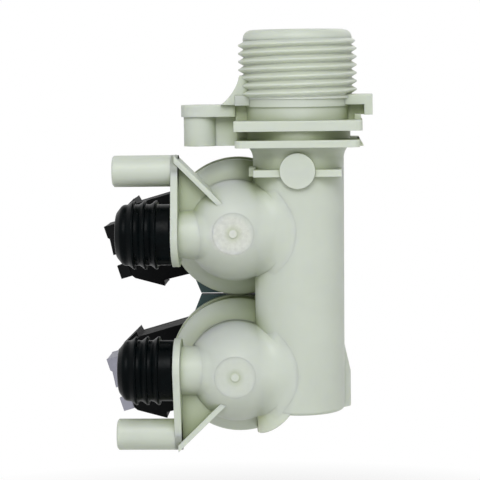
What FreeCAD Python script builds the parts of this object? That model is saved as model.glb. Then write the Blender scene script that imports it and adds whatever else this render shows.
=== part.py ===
import FreeCAD, Part
import Sketcher
import math
import os

# Two-way inlet valve: one moulded body with a threaded inlet, two diaphragm chambers and two plug-in outlets.
# Millimetres. Z up along the inlet, with Z = 0 at the inlet's rim. X to the right, Y from the front to the coils.
# A name ending in _level is a distance below the rim, one in _front a distance towards the front (-Y),
# one in _back a distance towards the coils (+Y), one in _reach a distance to the left of the inlet axis (-X).

SIZES = [
    ("rim_flat_radius", 10.4, "inlet rim, outer edge of the sealing face"),
    ("lead_radius", 12.3, "plain lead-in band above the thread"),
    ("lead_length", 3.0, "rim to the first thread turn"),
    ("lead_round", 1.9, "rounding of the rim's outer edge"),
    ("thread_core_radius", 12.05, "root of the three-quarter inch pipe thread"),
    ("thread_end_level", 15.2, "rim to the end of the thread"),
    ("collar_radius", 11.7, "plain collar under the thread"),
    ("inlet_bore_radius", 8.9, "inlet bore that holds strainer and flow regulator"),
    ("inlet_bore_depth", 27.0, "rim to the regulator's seat"),
    ("flange_level", 19.6, "rim to the upper panel flange"),
    ("flange_half_width", 14.3, "upper panel flange, half its width"),
    ("flange_half_depth", 13.0, "panel flanges, half their depth"),
    ("flange_thick", 1.95, "upper panel flange"),
    ("flange_corner", 2.4, "panel flanges, cut corner"),
    ("groove_width", 2.1, "slot between the panel flanges"),
    ("lower_flange_thick", 1.8, "lower panel flange"),
    ("lower_flange_trim", 0.6, "lower flange, narrower each side"),
    ("flange_tooth", 0.9, "latch tooth at the lower flange's right end"),
    ("rail_level", 14.95, "rim to the top of the guide rails"),
    ("rail_thick", 2.1, "guide rails"),
    ("rail_reach_right", 16.6, "axis to the outer face of the right hook"),
    ("rail_half_depth", 5.9, "guide rails, half their depth"),
    ("hook_thick", 2.0, "leg of the right hook"),
    ("hook_drop", 4.6, "height of the right hook's leg"),
    ("hook_foot", 0.8, "rail step on the upper flange under the hook"),
    ("pocket_wall", 1.4, "wall behind the pockets under the rails"),
    ("ear_offset", 21.9, "inlet axis to the ear's screw"),
    ("ear_boss_radius", 3.75, "screw boss of the ear"),
    ("ear_plate_radius", 4.3, "ear plate round the screw"),
    ("ear_plate_level", 16.75, "rim to the top of the ear plate"),
    ("ear_plate_thick", 2.8, "ear plate"),
    ("ear_bottom_level", 24.7, "rim to the underside of the boss"),
    ("ear_web_half_depth", 3.0, "block between the boss and the flanges, half its depth"),
    ("ear_hole_radius", 1.6, "screw hole of the ear"),
    ("ear_gusset_level", 11.9, "rim to the top of the ear's gusset"),
    ("ear_gusset_reach", 16.5, "axis to the outer end of the ear's gusset"),
    ("ear_gusset_thick", 2.0, "ear's gusset, front to back"),
    ("neck_radius", 10.2, "manifold tube under the flanges"),
    ("neck_fillet", 1.3, "fillet between the lower flange and the tube"),
    ("tube_end_radius", 9.95, "manifold tube at its closed end"),
    ("tube_end_level", 85.5, "rim to the manifold's closed end"),
    ("tube_end_round", 0.9, "rounding of the manifold's closed end"),
    ("manifold_radius", 7.9, "manifold bore"),
    ("manifold_floor", 1.9, "wall at the manifold's closed end"),
    ("lug_radius", 3.0, "foot lug beside the manifold's closed end"),
    ("lug_offset", 8.4, "inlet axis to the lug, to the right"),
    ("lug_back", 4.0, "lug, behind the inlet axis"),
    ("lug_height", 8.0, "straight part of the lug"),
    ("lug_taper", 8.0, "tapered part of the lug"),
    ("rib_level", 31.85, "rim to the middle of the front rib"),
    ("rib_height", 1.7, "front rib"),
    ("rib_front", 10.6, "front rib, flat face"),
    ("pad_level", 31.3, "rim to the middle of the round pad"),
    ("pad_radius", 4.05, "round pad on the front rib"),
    ("pad_front", 11.3, "round pad, flat face"),
    ("middle_level", 60.4, "rim to the plane half way between the two valves"),
    ("chamber_pitch", 31.8, "distance between the chamber axes"),
    ("chamber_reach", 14.2, "inlet axis to the chamber axes"),
    ("ring_radius", 15.5, "outer edge of a chamber"),
    ("ring_front_back", 5.5, "where the flare meets the chamber's outer edge"),
    ("ring_face_back", 10.6, "chamber face that carries the bonnet"),
    ("flare_root_radius", 11.4, "where the flare meets the dome"),
    ("flare_root_front", 2.0, "depth of that circle"),
    ("flare_curve", 11.0, "hollow curve of the flare"),
    ("dome_front", 14.0, "flat apex of the dome"),
    ("dome_curve", 11.5, "curve of the dome"),
    ("apex_radius", 4.9, "flat apex of the dome"),
    ("pip_radius", 1.2, "gate mark on the apex"),
    ("pip_height", 0.3, "gate mark on the apex"),
    ("wall", 1.9, "wall of the dome"),
    ("chamber_bore_radius", 11.9, "annular inlet chamber"),
    ("ledge_radius", 13.6, "ledge that holds the diaphragm's bead"),
    ("ledge_depth", 2.0, "depth of that ledge"),
    ("partition_back", 3.0, "back face of the wall between inlet and outlet side"),
    ("partition_thick", 1.8, "wall between inlet and outlet side"),
    ("seat_outer_radius", 5.6, "seat tube"),
    ("seat_bore_radius", 4.2, "bore of the seat tube"),
    ("seat_back", 9.2, "sealing edge of the seat"),
    ("seat_lip", 0.6, "rounding of the sealing edge"),
    ("outlet_pitch", 30.6, "distance between the outlet axes"),
    ("outlet_front", 6.2, "outlet axes in front of the inlet axis"),
    ("spout_radius", 5.3, "outlet spout"),
    ("spout_bore_radius", 3.4, "outlet bore"),
    ("plate_reach", 28.0, "inlet axis to the outer face of the outlet plates"),
    ("plate_thick", 1.55, "outlet plates"),
    ("plate_radius", 7.2, "outlet plate round the spout"),
    ("arm_half_depth", 4.4, "outlet plate at the pillar, half its depth"),
    ("nozzle_radius", 4.9, "nozzle inside the seal"),
    ("nozzle_reach", 39.4, "inlet axis to the nozzle's end"),
    ("pillar_pitch", 59.6, "distance between the screw pillars"),
    ("pillar_radius", 3.5, "screw pillars"),
    ("pillar_reach", 40.95, "inlet axis to the pillars' end"),
    ("pillar_round", 0.35, "edge of the pillars' end"),
    ("pilot_radius", 1.45, "pilot hole for the dispenser's screws"),
    ("pilot_depth", 11.0, "depth of the pilot holes"),
    ("gusset_foot_reach", 16.9, "inlet axis to the gusset's foot on the dome"),
    ("gusset_drop", 12.3, "height of the gusset"),
    ("gusset_height", 1.9, "gusset strip, measured upright"),
    ("web_thick", 1.4, "web behind the gusset strip"),
    ("fit_gap", 0.05, "clearance of pieces that are pushed together"),
    ("running_gap", 0.07, "clearance of the plunger in its guide"),
    ("seal_radius", 6.75, "outlet seal, plain part"),
    ("seal_lip_radius", 7.7, "outlet seal, over its lips"),
    ("seal_reach", 40.55, "inlet axis to the seal's free end"),
    ("seal_mouth_radius", 3.9, "mouth of the seal"),
    ("seal_nose", 1.6, "length of the seal's rounded nose"),
    ("seal_nose_radius", 5.0, "flat of the seal's nose"),
    ("lip_root", 3.2, "plate to the root of the first lip"),
    ("lip_pitch", 2.45, "distance between the lips"),
    ("lip_slope", 1.5, "length of a lip's slope"),
    ("lip_lean", 0.35, "undercut of a lip"),
    ("hub_radius", 6.0, "diaphragm's thick middle"),
    ("hub_thick", 2.1, "diaphragm's thick middle"),
    ("web_rubber", 0.7, "diaphragm's thin web"),
    ("insert_radius", 5.2, "diaphragm insert, head"),
    ("insert_head", 0.9, "diaphragm insert, head"),
    ("insert_stem_radius", 1.9, "diaphragm insert, stem"),
    ("insert_foot_radius", 3.0, "diaphragm insert, foot"),
    ("insert_foot", 1.5, "diaphragm insert, foot"),
    ("insert_nib_radius", 1.2, "pilot seat on the insert"),
    ("insert_nib", 0.7, "pilot seat on the insert"),
    ("pilot_hole_radius", 0.45, "pilot hole through the insert"),
    ("bonnet_radius", 14.6, "bonnet flange, welded to the chamber's face"),
    ("bonnet_flange", 2.6, "bonnet flange"),
    ("bonnet_edge", 0.6, "cut edge of the bonnet"),
    ("waist_half_width", 8.9, "bonnet's tongue beside the other bonnet, half its width"),
    ("waist_root_half_width", 12.3, "the same at the flange"),
    ("bonnet_gap", 0.2, "each bonnet to the plane between them"),
    ("bonnet_step_radius", 13.0, "raised middle of the bonnet"),
    ("bonnet_step_back", 15.6, "raised middle of the bonnet"),
    ("bonnet_recess_radius", 11.6, "pressure chamber in the bonnet"),
    ("bonnet_recess", 3.4, "pressure chamber in the bonnet"),
    ("guide_radius", 5.4, "guide tube, outside"),
    ("guide_bore_radius", 4.47, "guide tube, inside"),
    ("guide_end_back", 36.0, "end of the guide tube"),
    ("guide_end_wall", 1.3, "closed end of the guide tube"),
    ("plunger_length", 15.4, "plunger"),
    ("plunger_rise", 1.5, "plunger's front face behind the pilot seat"),
    ("tip_radius", 2.4, "rubber tip of the plunger"),
    ("tip_length", 4.4, "rubber tip of the plunger"),
    ("tip_gap", 0.05, "rubber tip to the pilot seat"),
    ("spring_pocket_radius", 2.6, "spring pocket in the plunger"),
    ("spring_pocket", 7.0, "depth of the spring pocket"),
    ("spring_radius", 2.15, "plunger spring, middle of the wire"),
    ("spring_wire", 0.22, "plunger spring, wire radius"),
    ("spring_turns", 6.0, "plunger spring"),
    ("spring_facets", 6.0, "facets of the spring's wire"),
    ("yoke_thick", 1.5, "steel yoke"),
    ("yoke_half_width", 11.0, "steel yoke, half its width"),
    ("yoke_side", 14.1, "coil axis to the yoke's outer face"),
    ("yoke_open_side", 9.5, "coil axis to the yoke's open edge"),
    ("yoke_corner", 2.5, "steel yoke, cut corners"),
    ("coil_length", 15.8, "bobbin between the yoke's plates"),
    ("sleeve_thick", 0.6, "flux sleeve"),
    ("sleeve_length", 11.0, "flux sleeve"),
    ("bobbin_wall", 1.0, "bobbin's barrel"),
    ("bobbin_flange", 1.1, "bobbin's flanges"),
    ("bobbin_flange_radius", 10.2, "bobbin's flanges"),
    ("winding_radius", 9.7, "copper winding"),
    ("housing_radius", 12.3, "coil's moulded jacket"),
    ("plug_angle", 15.5, "connector, turned down from level"),
    ("plug_half_width", 10.2, "connector block behind its teeth"),
    ("plug_depth", 12.0, "connector block, front to back"),
    ("plug_back", 19.2, "connector block, front face"),
    ("tooth_reach", 22.8, "coil axis to the teeth"),
    ("tooth_half_width", 11.1, "connector over its teeth"),
    ("tooth_undercut", 1.2, "inner face of the teeth"),
    ("mouth_reach", 29.8, "coil axis to the connector's mouth"),
    ("mouth_half_width", 6.5, "connector at its mouth"),
    ("socket_half_width", 5.3, "connector's socket"),
    ("socket_depth", 10.0, "connector's socket"),
    ("socket_wall", 1.1, "connector's front and back walls"),
    ("key_reach", 32.6, "coil axis to the end of the coding frame"),
    ("key_half_width", 6.9, "coding frame"),
    ("key_wall", 1.5, "coding frame, front and back walls"),
    ("key_spigot", 3.0, "coding frame inside the socket"),
    ("key_spigot_wall", 0.8, "coding frame inside the socket"),
    ("tab_width", 6.3, "terminal"),
    ("tab_thick", 0.8, "terminal"),
    ("tab_pitch", 5.0, "distance between the terminals"),
    ("tab_root", 12.9, "coil axis to the terminals' root"),
    ("tab_reach", 28.0, "coil axis to the terminals' end"),
    ("clip_radius", 8.2, "push-on clip of the coil"),
    ("clip_thick", 0.5, "push-on clip of the coil"),
    ("clip_slot", 1.2, "slots of the push-on clip"),
    ("strainer_level", 3.6, "rim to the strainer's collar"),
    ("strainer_collar", 1.6, "strainer's collar"),
    ("strainer_mouth_radius", 7.4, "strainer's mouth"),
    ("strainer_end_radius", 4.6, "strainer's closed end"),
    ("strainer_length", 13.5, "strainer"),
    ("strainer_wall", 0.8, "strainer's basket"),
    ("strainer_windows", 8.0, "windows of the basket"),
    ("strainer_window", 2.1, "width of a window"),
    ("strainer_tab", 1.0, "strainer's pull tab"),
    ("regulator_thick", 2.2, "flow regulator's carrier"),
    ("regulator_holes", 8.0, "holes of the carrier"),
    ("regulator_hole_radius", 1.1, "holes of the carrier"),
    ("regulator_circle", 5.6, "circle of the carrier's holes"),
    ("regulator_hub_radius", 2.6, "post that centres the rubber ring"),
    ("regulator_hub", 3.4, "height of that post"),
    ("washer_radius", 6.9, "regulator's rubber ring"),
    ("washer_thick", 2.2, "regulator's rubber ring"),
]

NUMBERS = {name: value for name, value, words in SIZES}


class Length:
    """A number that keeps the expression it comes from, so that a feature can be bound to the sheet."""

    def __init__(self, text, value):
        self.text = text
        self.value = value

    def __add__(self, other):
        other = length(other)
        return Length(f"({self.text} + {other.text})", self.value + other.value)

    def __sub__(self, other):
        other = length(other)
        return Length(f"({self.text} - {other.text})", self.value - other.value)

    def __mul__(self, factor):
        return Length(f"({self.text} * {factor})", self.value * factor)

    def __truediv__(self, factor):
        return Length(f"({self.text} / {factor})", self.value / factor)

    def __neg__(self):
        return Length(f"(-1 * {self.text})", -self.value)


def length(item):
    """Take a plain number as a length, and leave a length as it is."""
    if isinstance(item, Length):
        return item
    return Length(str(float(item)), float(item))


def size(name):
    """The length that the sheet holds under this name."""
    return Length(f"Sizes.{name}", NUMBERS[name])


document = FreeCAD.newDocument("InletValve")
sheet = document.addObject("Spreadsheet::Sheet", "Sizes")
for row, (name, value, words) in enumerate(SIZES, start=1):
    sheet.set(f"A{row}", words)
    sheet.set(f"B{row}", str(value))
    sheet.setAlias(f"B{row}", name)
document.recompute()

ORIGIN = (-1, 1)
ZERO = length(0)
TURN = 360.0
ALONG_X = FreeCAD.Rotation(FreeCAD.Vector(0, 1, 0), 90)
ALONG_Y = FreeCAD.Rotation(FreeCAD.Vector(1, 0, 0), -90)
ALONG_Z = FreeCAD.Rotation()


def place(item, base, rotation=None):
    """Bind an object's place to the sheet."""
    base = [length(part) for part in base]
    if rotation is not None:
        item.Placement = FreeCAD.Placement(FreeCAD.Vector(), rotation)
    for axis, part in zip("xyz", base):
        item.setExpression(f"Placement.Base.{axis}", part.text)
    return item


def plane_of(body, role):
    return next(item for item in body.Origin.OriginFeatures if item.Role == role)


def short_arc(start, end, radius, side):
    """The short arc of this radius, anticlockwise; side is +1 if it bulges to the left of the way to its end."""
    chord = end - start
    half = chord.Length / 2
    inwards = FreeCAD.Vector(chord.y, -chord.x, 0).normalize() * side
    centre = (start + end) / 2 + inwards * math.sqrt(radius * radius - half * half)
    first, last = (end, start) if side > 0 else (start, end)
    angles = [math.atan2(point.y - centre.y, point.x - centre.x) for point in (first, last)]
    return Part.ArcOfCircle(Part.Circle(centre, FreeCAD.Vector(0, 0, 1), radius), *angles)


def draw(sketch, outline):
    """Draw a closed outline of corners. A corner is (across, up), or (across, up, radius, side) before an arc."""
    corners = [(length(corner[0]), length(corner[1])) for corner in outline]
    points = [FreeCAD.Vector(across.value, up.value, 0) for across, up in corners]
    edges = []
    for index, corner in enumerate(outline):
        start = points[index]
        end = points[(index + 1) % len(points)]
        if len(corner) == 4:
            edge = sketch.addGeometry(short_arc(start, end, length(corner[2]).value, corner[3]), False)
            ends = (2, 1) if corner[3] > 0 else (1, 2)
        else:
            edge = sketch.addGeometry(Part.LineSegment(start, end), False)
            ends = (1, 2)
        edges.append((edge, ends))
    for index, (edge, ends) in enumerate(edges):
        following, following_ends = edges[(index + 1) % len(edges)]
        sketch.addConstraint(Sketcher.Constraint("Coincident", edge, ends[1], following, following_ends[0]))
        for kind, part in zip(("DistanceX", "DistanceY"), corners[index]):
            fixed = Sketcher.Constraint(kind, *ORIGIN, edge, ends[0], part.value)
            sketch.setExpression(f"Constraints[{sketch.addConstraint(fixed)}]", part.text)
        if len(outline[index]) == 4:
            radius = length(outline[index][2])
            bent = sketch.addConstraint(Sketcher.Constraint("Radius", edge, radius.value))
            sketch.setExpression(f"Constraints[{bent}]", radius.text)


def new_body(name, plane, outline):
    body = document.addObject("PartDesign::Body", name)
    sketch = body.newObject("Sketcher::SketchObject", f"{name}_profile")
    sketch.AttachmentSupport = [(plane_of(body, plane), "")]
    sketch.MapMode = "FlatFace"
    draw(sketch, outline)
    return body, sketch


def turned(name, plane, outline, axis="V_Axis"):
    """A solid turned from a half outline about an axis of its sketch."""
    body, sketch = new_body(name, plane, outline)
    turn = body.newObject("PartDesign::Revolution", f"{name}_turn")
    turn.Profile = sketch
    turn.ReferenceAxis = (sketch, [axis])
    turn.Angle = TURN
    return body


def padded(name, plane, outline, depth):
    """A solid pushed out from an outline, along its plane's normal."""
    body, sketch = new_body(name, plane, outline)
    pad = body.newObject("PartDesign::Pad", f"{name}_pad")
    pad.Profile = sketch
    pad.setExpression("Length", length(depth).text)
    return body


def rod(name, radius, depth, base, rotation):
    item = document.addObject("Part::Cylinder", name)
    item.setExpression("Radius", length(radius).text)
    item.setExpression("Height", length(depth).text)
    return place(item, base, rotation)


def cone(name, radius, end_radius, depth, base, rotation):
    item = document.addObject("Part::Cone", name)
    item.setExpression("Radius1", length(radius).text)
    item.setExpression("Radius2", length(end_radius).text)
    item.setExpression("Height", length(depth).text)
    return place(item, base, rotation)


def block(name, low, high):
    """A box between two opposite corners."""
    item = document.addObject("Part::Box", name)
    for side, start, end in zip(("Length", "Width", "Height"), low, high):
        item.setExpression(side, (length(end) - start).text)
    return place(item, low)


def joined(name, items):
    item = document.addObject("Part::MultiFuse", name)
    item.Shapes = items
    item.Refine = True
    return item


def cut(name, base, tool):
    item = document.addObject("Part::Cut", name)
    item.Base = base
    item.Tool = tool
    return item


def shared(name, base, tool):
    item = document.addObject("Part::Common", name)
    item.Base = base
    item.Tool = tool
    return item


def around(name, item, count, axis):
    """Copies of one object, evenly spaced round an axis through the origin."""
    shapes = []
    for step in range(count):
        shape = item.Shape.copy()
        shape.rotate(FreeCAD.Vector(), axis, TURN * step / count)
        shapes.append(shape)
    ring = document.addObject("Part::Feature", name)
    ring.Shape = Part.makeCompound(shapes)
    return ring


nodes = []


def node(label, item):
    """Register a finished piece under its own name."""
    item.Label = label
    nodes.append(item)
    return item


# Levels of the two valves: the upper one has sign +1, the lower one -1, from the plane between them.
VALVES = [("upper", 1), ("lower", -1)]
middle = -size("middle_level")
chamber_x = -size("chamber_reach")
outlet_y = -size("outlet_front")


def level_of(pitch, sign):
    return middle + size(pitch) / 2 * sign


# Valve body: inlet, flanges, rails, ear, manifold, chambers, outlets and pillars are one moulding.

def inlet_and_tube():
    flange_top = -size("flange_level")
    lower_bottom = (flange_top - size("flange_thick") - size("groove_width") - size("lower_flange_thick"))
    end = -size("tube_end_level")
    fillet = size("neck_fillet")
    return turned("inlet_tube", "XZ_Plane", [
        (ZERO, ZERO),
        (size("rim_flat_radius"), ZERO, size("lead_round"), 1),
        (size("lead_radius"), -size("lead_round")),
        (size("lead_radius"), -size("lead_length")),
        (size("thread_core_radius"), -size("lead_length") - 0.2),
        (size("thread_core_radius"), -size("thread_end_level")),
        (size("collar_radius"), -size("thread_end_level")),
        (size("collar_radius"), lower_bottom),
        (size("neck_radius") + fillet, lower_bottom, fillet, -1),
        (size("neck_radius"), lower_bottom - fillet),
        (size("tube_end_radius"), end + size("tube_end_round"), size("tube_end_round"), 1),
        (size("tube_end_radius") - size("tube_end_round"), end),
        (ZERO, end),
    ])


def flange(name, top, thick, left, right):
    """A panel flange with its corners cut, lying level."""
    depth = size("flange_half_depth")
    corner = size("flange_corner")
    plate = padded(name, "XY_Plane", [
        (-left, corner - depth),
        (corner - left, -depth),
        (right - corner, -depth),
        (right, corner - depth),
        (right, depth - corner),
        (right - corner, depth),
        (corner - left, depth),
        (-left, depth - corner),
    ], thick)
    return place(plate, (0, 0, top - thick))


def panel_flanges():
    top = -size("flange_level")
    wide = size("flange_half_width")
    narrow = wide - size("lower_flange_trim")
    lower_top = top - size("flange_thick") - size("groove_width")
    lower_bottom = lower_top - size("lower_flange_thick")
    tooth = padded("flange_tooth", "XZ_Plane", [
        (narrow - 0.5, lower_bottom),
        (narrow + size("flange_tooth"), lower_bottom),
        (narrow, lower_top),
        (narrow - 0.5, lower_top),
    ], size("rail_half_depth") * 2)
    place(tooth, (0, size("rail_half_depth"), 0))
    return [
        flange("upper_flange", top, size("flange_thick"), wide, wide),
        flange("lower_flange", lower_top, size("lower_flange_thick"), narrow, narrow),
        tooth,
    ]


def rails():
    top = -size("rail_level")
    bottom = top - size("rail_thick")
    reach = size("rail_reach_right")
    deep = size("rail_half_depth")
    flange_top = -size("flange_level")
    ear_side = -size("flange_half_width")
    groove_top = flange_top - size("flange_thick")
    web = size("ear_web_half_depth")
    return [
        block("pocket_back", (ear_side, 0, flange_top), (reach - size("hook_thick") / 2, size("pocket_wall"), bottom)),
        block("groove_end", (ear_side, -web, -size("ear_bottom_level")),
              (-size("collar_radius") + 1, web, groove_top)),
        block("right_rail", (0, -deep, bottom), (reach, deep, top)),
        block("right_hook", (reach - size("hook_thick"), -deep, top - size("hook_drop")), (reach, deep, top)),
        block("rail_step", (0, -deep, flange_top), (size("flange_half_width") - 0.3, deep,
                                                    flange_top + size("hook_foot"))),
        block("left_rail", (ear_side, -deep, bottom), (0, deep, top - 0.4)),
    ]


def ear():
    x = -size("ear_offset")
    side = -size("flange_half_width")
    top = -size("ear_plate_level")
    bottom = -size("ear_bottom_level")
    under_plate = top - size("ear_plate_thick")
    deep = size("ear_web_half_depth")
    plate_radius = size("ear_plate_radius")
    boss = rod("ear_boss", size("ear_boss_radius"), top - bottom, (x, 0, bottom), ALONG_Z)
    plate_end = rod("ear_plate_end", plate_radius, size("ear_plate_thick"), (x, 0, under_plate), ALONG_Z)
    plate = block("ear_plate", (x, -plate_radius, under_plate), (side, plate_radius, top))
    web = block("ear_web", (x, -deep, bottom), (side, deep, top))
    gusset = padded("ear_gusset", "XZ_Plane", [
        (-size("thread_core_radius") + 1, -size("ear_gusset_level") + 1.2),
        (-size("ear_gusset_reach"), top),
        (-size("thread_core_radius") + 1, top),
    ], size("ear_gusset_thick"))
    place(gusset, (0, size("ear_gusset_thick") / 2, 0))
    return [boss, plate_end, plate, web, gusset]


def front_rib():
    half = size("rib_height") / 2
    level = -size("rib_level")
    radius = size("neck_radius")
    return [
        block("front_rib", (-radius, -size("rib_front"), level - half), (radius, 0, level + half)),
        rod("front_pad", size("pad_radius"), size("pad_front"), (0, -size("pad_front"), -size("pad_level")),
            ALONG_Y),
    ]


def foot_lug():
    x = size("lug_offset")
    y = size("lug_back")
    bottom = -size("tube_end_level")
    top = bottom + size("lug_height")
    radius = size("lug_radius")
    return [
        rod("lug", radius, size("lug_height"), (x, y, bottom), ALONG_Z),
        cone("lug_taper", radius, radius * 0.4, size("lug_taper"), (x, y, top), ALONG_Z),
    ]


def chamber(side, sign):
    """Dome, flare and ring of one chamber, turned about its own axis along Y."""
    shell = turned(f"{side}_chamber", "XY_Plane", [
        (ZERO, -size("dome_front") - size("pip_height")),
        (size("pip_radius"), -size("dome_front") - size("pip_height")),
        (size("pip_radius"), -size("dome_front")),
        (size("apex_radius"), -size("dome_front"), size("dome_curve"), -1),
        (size("flare_root_radius"), -size("flare_root_front"), size("flare_curve"), 1),
        (size("ring_radius"), size("ring_front_back")),
        (size("ring_radius"), size("ring_face_back")),
        (ZERO, size("ring_face_back")),
    ])
    return place(shell, (chamber_x, 0, level_of("chamber_pitch", sign)))


def outlet_side(side, sign):
    """Spout, plate, nozzle, pillar and gusset of one outlet."""
    level = level_of("outlet_pitch", sign)
    pillar_level = level_of("pillar_pitch", sign)
    reach = size("plate_reach")
    inner = size("plate_thick") - reach
    foot = -size("gusset_foot_reach")
    spout = rod(f"{side}_spout", size("spout_radius"), reach - size("chamber_reach"), (-reach, outlet_y, level),
                ALONG_X)
    nozzle = rod(f"{side}_nozzle", size("nozzle_radius"), size("nozzle_reach") - reach,
                 (-size("nozzle_reach"), outlet_y, level), ALONG_X)
    disc = rod(f"{side}_plate_disc", size("plate_radius"), size("plate_thick"), (-reach, outlet_y, level), ALONG_X)
    pillar = turned(f"{side}_pillar", "XY_Plane", [
        (ZERO, ZERO),
        (ZERO, size("pillar_radius")),
        (reach - size("pillar_reach"), size("pillar_radius")),
        (reach - size("pillar_reach") + size("pillar_round") - size("plate_thick"), size("pillar_radius")),
        (reach - size("pillar_reach") - size("plate_thick"), size("pillar_radius") - size("pillar_round")),
        (reach - size("pillar_reach") - size("plate_thick"), ZERO),
    ], "H_Axis")
    place(pillar, (inner, outlet_y, pillar_level))
    away = (size("pillar_pitch") - size("outlet_pitch")) / 2 * sign
    end = away + size("pillar_radius") * sign
    arm = padded(f"{side}_arm", "YZ_Plane", [
        (-size("plate_radius"), ZERO),
        (-size("arm_half_depth"), away),
        (-size("arm_half_depth"), end),
        (size("arm_half_depth"), end),
        (size("arm_half_depth"), away),
        (size("plate_radius"), ZERO),
    ], size("plate_thick"))
    place(arm, (-reach, outlet_y, level))
    top = size("pillar_radius") * sign
    under = top - size("gusset_height") * sign
    drop = size("gusset_drop") * sign
    strip = padded(f"{side}_gusset", "XZ_Plane", [
        (inner - size("plate_thick") / 2, top),
        (foot, top - drop),
        (foot, under - drop),
        (inner - size("plate_thick") / 2, under),
    ], size("pillar_radius") * 2)
    place(strip, (0, outlet_y + size("pillar_radius"), pillar_level))
    core = top - size("gusset_height") / 2 * sign
    web = padded(f"{side}_web", "XZ_Plane", [
        (inner - size("plate_thick") / 2, core),
        (foot, core - drop),
        (foot, -away),
        (inner - size("plate_thick") / 2, -away),
    ], size("web_thick"))
    place(web, (0, outlet_y + size("web_thick") / 2, pillar_level))
    return [spout, nozzle, disc, pillar, arm, strip, web]


def dome_space(side, sign, tube):
    """Outlet space inside the dome, kept clear of the manifold's wall."""
    wall = size("wall")
    ball = turned(f"{side}_dome_space", "XY_Plane", [
        (ZERO, wall - size("dome_front")),
        (size("apex_radius") - 0.6, wall - size("dome_front"), size("dome_curve") - wall, -1),
        (size("flare_root_radius") - wall, -size("flare_root_front")),
        (size("flare_root_radius") - wall, size("partition_back") - size("partition_thick")),
        (ZERO, size("partition_back") - size("partition_thick")),
    ])
    place(ball, (chamber_x, 0, level_of("chamber_pitch", sign)))
    keep = rod(f"{side}_tube_wall", size("neck_radius"), size("tube_end_level"), (0, 0, -size("tube_end_level")),
               ALONG_Z)
    return cut(f"{side}_outlet_space", ball, keep)


def chamber_space(side, sign):
    """Annular inlet space round the seat, with the ledge for the diaphragm's bead."""
    space = turned(f"{side}_inlet_space", "XY_Plane", [
        (size("seat_outer_radius"), size("partition_back")),
        (size("chamber_bore_radius"), size("partition_back")),
        (size("chamber_bore_radius"), size("ring_face_back") - size("ledge_depth")),
        (size("ledge_radius"), size("ring_face_back") - size("ledge_depth")),
        (size("ledge_radius"), size("ring_face_back") + 1),
        (ZERO, size("ring_face_back") + 1),
        (ZERO, size("seat_back")),
        (size("seat_outer_radius") - size("seat_lip"), size("seat_back")),
        (size("seat_outer_radius"), size("seat_back") - size("seat_lip")),
    ])
    place(space, (chamber_x, 0, level_of("chamber_pitch", sign)))
    seat_bore = rod(f"{side}_seat_bore", size("seat_bore_radius"), size("ring_face_back"),
                    (chamber_x, 0, level_of("chamber_pitch", sign)), ALONG_Y)
    return [space, seat_bore]


def outlet_bores(side, sign):
    level = level_of("outlet_pitch", sign)
    pillar_level = level_of("pillar_pitch", sign)
    return [
        rod(f"{side}_outlet_bore", size("spout_bore_radius"), size("nozzle_reach") - size("chamber_reach"),
            (-size("nozzle_reach"), outlet_y, level), ALONG_X),
        rod(f"{side}_pilot", size("pilot_radius"), size("pilot_depth"),
            (-size("pillar_reach"), outlet_y, pillar_level), ALONG_X),
    ]


def make_valve_body():
    tube = inlet_and_tube()
    solid = [tube] + panel_flanges() + rails() + ear() + front_rib() + foot_lug()
    hollow = [
        rod("inlet_bore", size("inlet_bore_radius"), size("inlet_bore_depth"), (0, 0, -size("inlet_bore_depth")),
            ALONG_Z),
        rod("manifold_bore", size("manifold_radius"), size("tube_end_level") - size("manifold_floor"),
            (0, 0, size("manifold_floor") - size("tube_end_level")), ALONG_Z),
        rod("ear_hole", size("ear_hole_radius"), size("ear_bottom_level"),
            (-size("ear_offset"), 0, -size("ear_bottom_level")), ALONG_Z),
    ]
    for side, sign in VALVES:
        solid.append(chamber(side, sign))
        solid += outlet_side(side, sign)
        hollow.append(dome_space(side, sign, tube))
        hollow += chamber_space(side, sign)
        hollow += outlet_bores(side, sign)
    return node("valve_body", cut("valve_moulding", joined("valve_solid", solid), joined("valve_spaces", hollow)))


# Pieces inside the inlet: a strainer basket, the flow regulator's carrier and its rubber ring.

def make_strainer():
    top = ZERO
    collar = -size("strainer_collar")
    end = -size("strainer_length")
    wall = size("strainer_wall")
    mouth = size("strainer_mouth_radius")
    outer = size("inlet_bore_radius") - size("fit_gap")
    basket = turned("strainer_basket", "XZ_Plane", [
        (mouth - wall, top),
        (outer, top),
        (outer, collar),
        (mouth, collar),
        (size("strainer_end_radius"), end),
        (ZERO, end),
        (ZERO, end + wall),
        (size("strainer_end_radius") - wall, end + wall),
        (mouth - wall, collar),
    ])
    window = block("strainer_window",
                   (size("strainer_end_radius") - wall * 2, size("strainer_window") * -0.5, end + wall * 2.5),
                   (mouth + 1, size("strainer_window") / 2, collar - wall))
    document.recompute()
    windows = around("strainer_windows", window, int(NUMBERS["strainer_windows"]), FreeCAD.Vector(0, 0, 1))
    tab = block("strainer_tab", (wall / 2 - mouth, size("strainer_tab") * -0.5, collar),
                (mouth - wall / 2, size("strainer_tab") / 2, top))
    strainer = joined("strainer", [cut("strainer_open", basket, windows), tab])
    place(strainer, (0, 0, -size("strainer_level")))
    return node("inlet_strainer", strainer)


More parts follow.
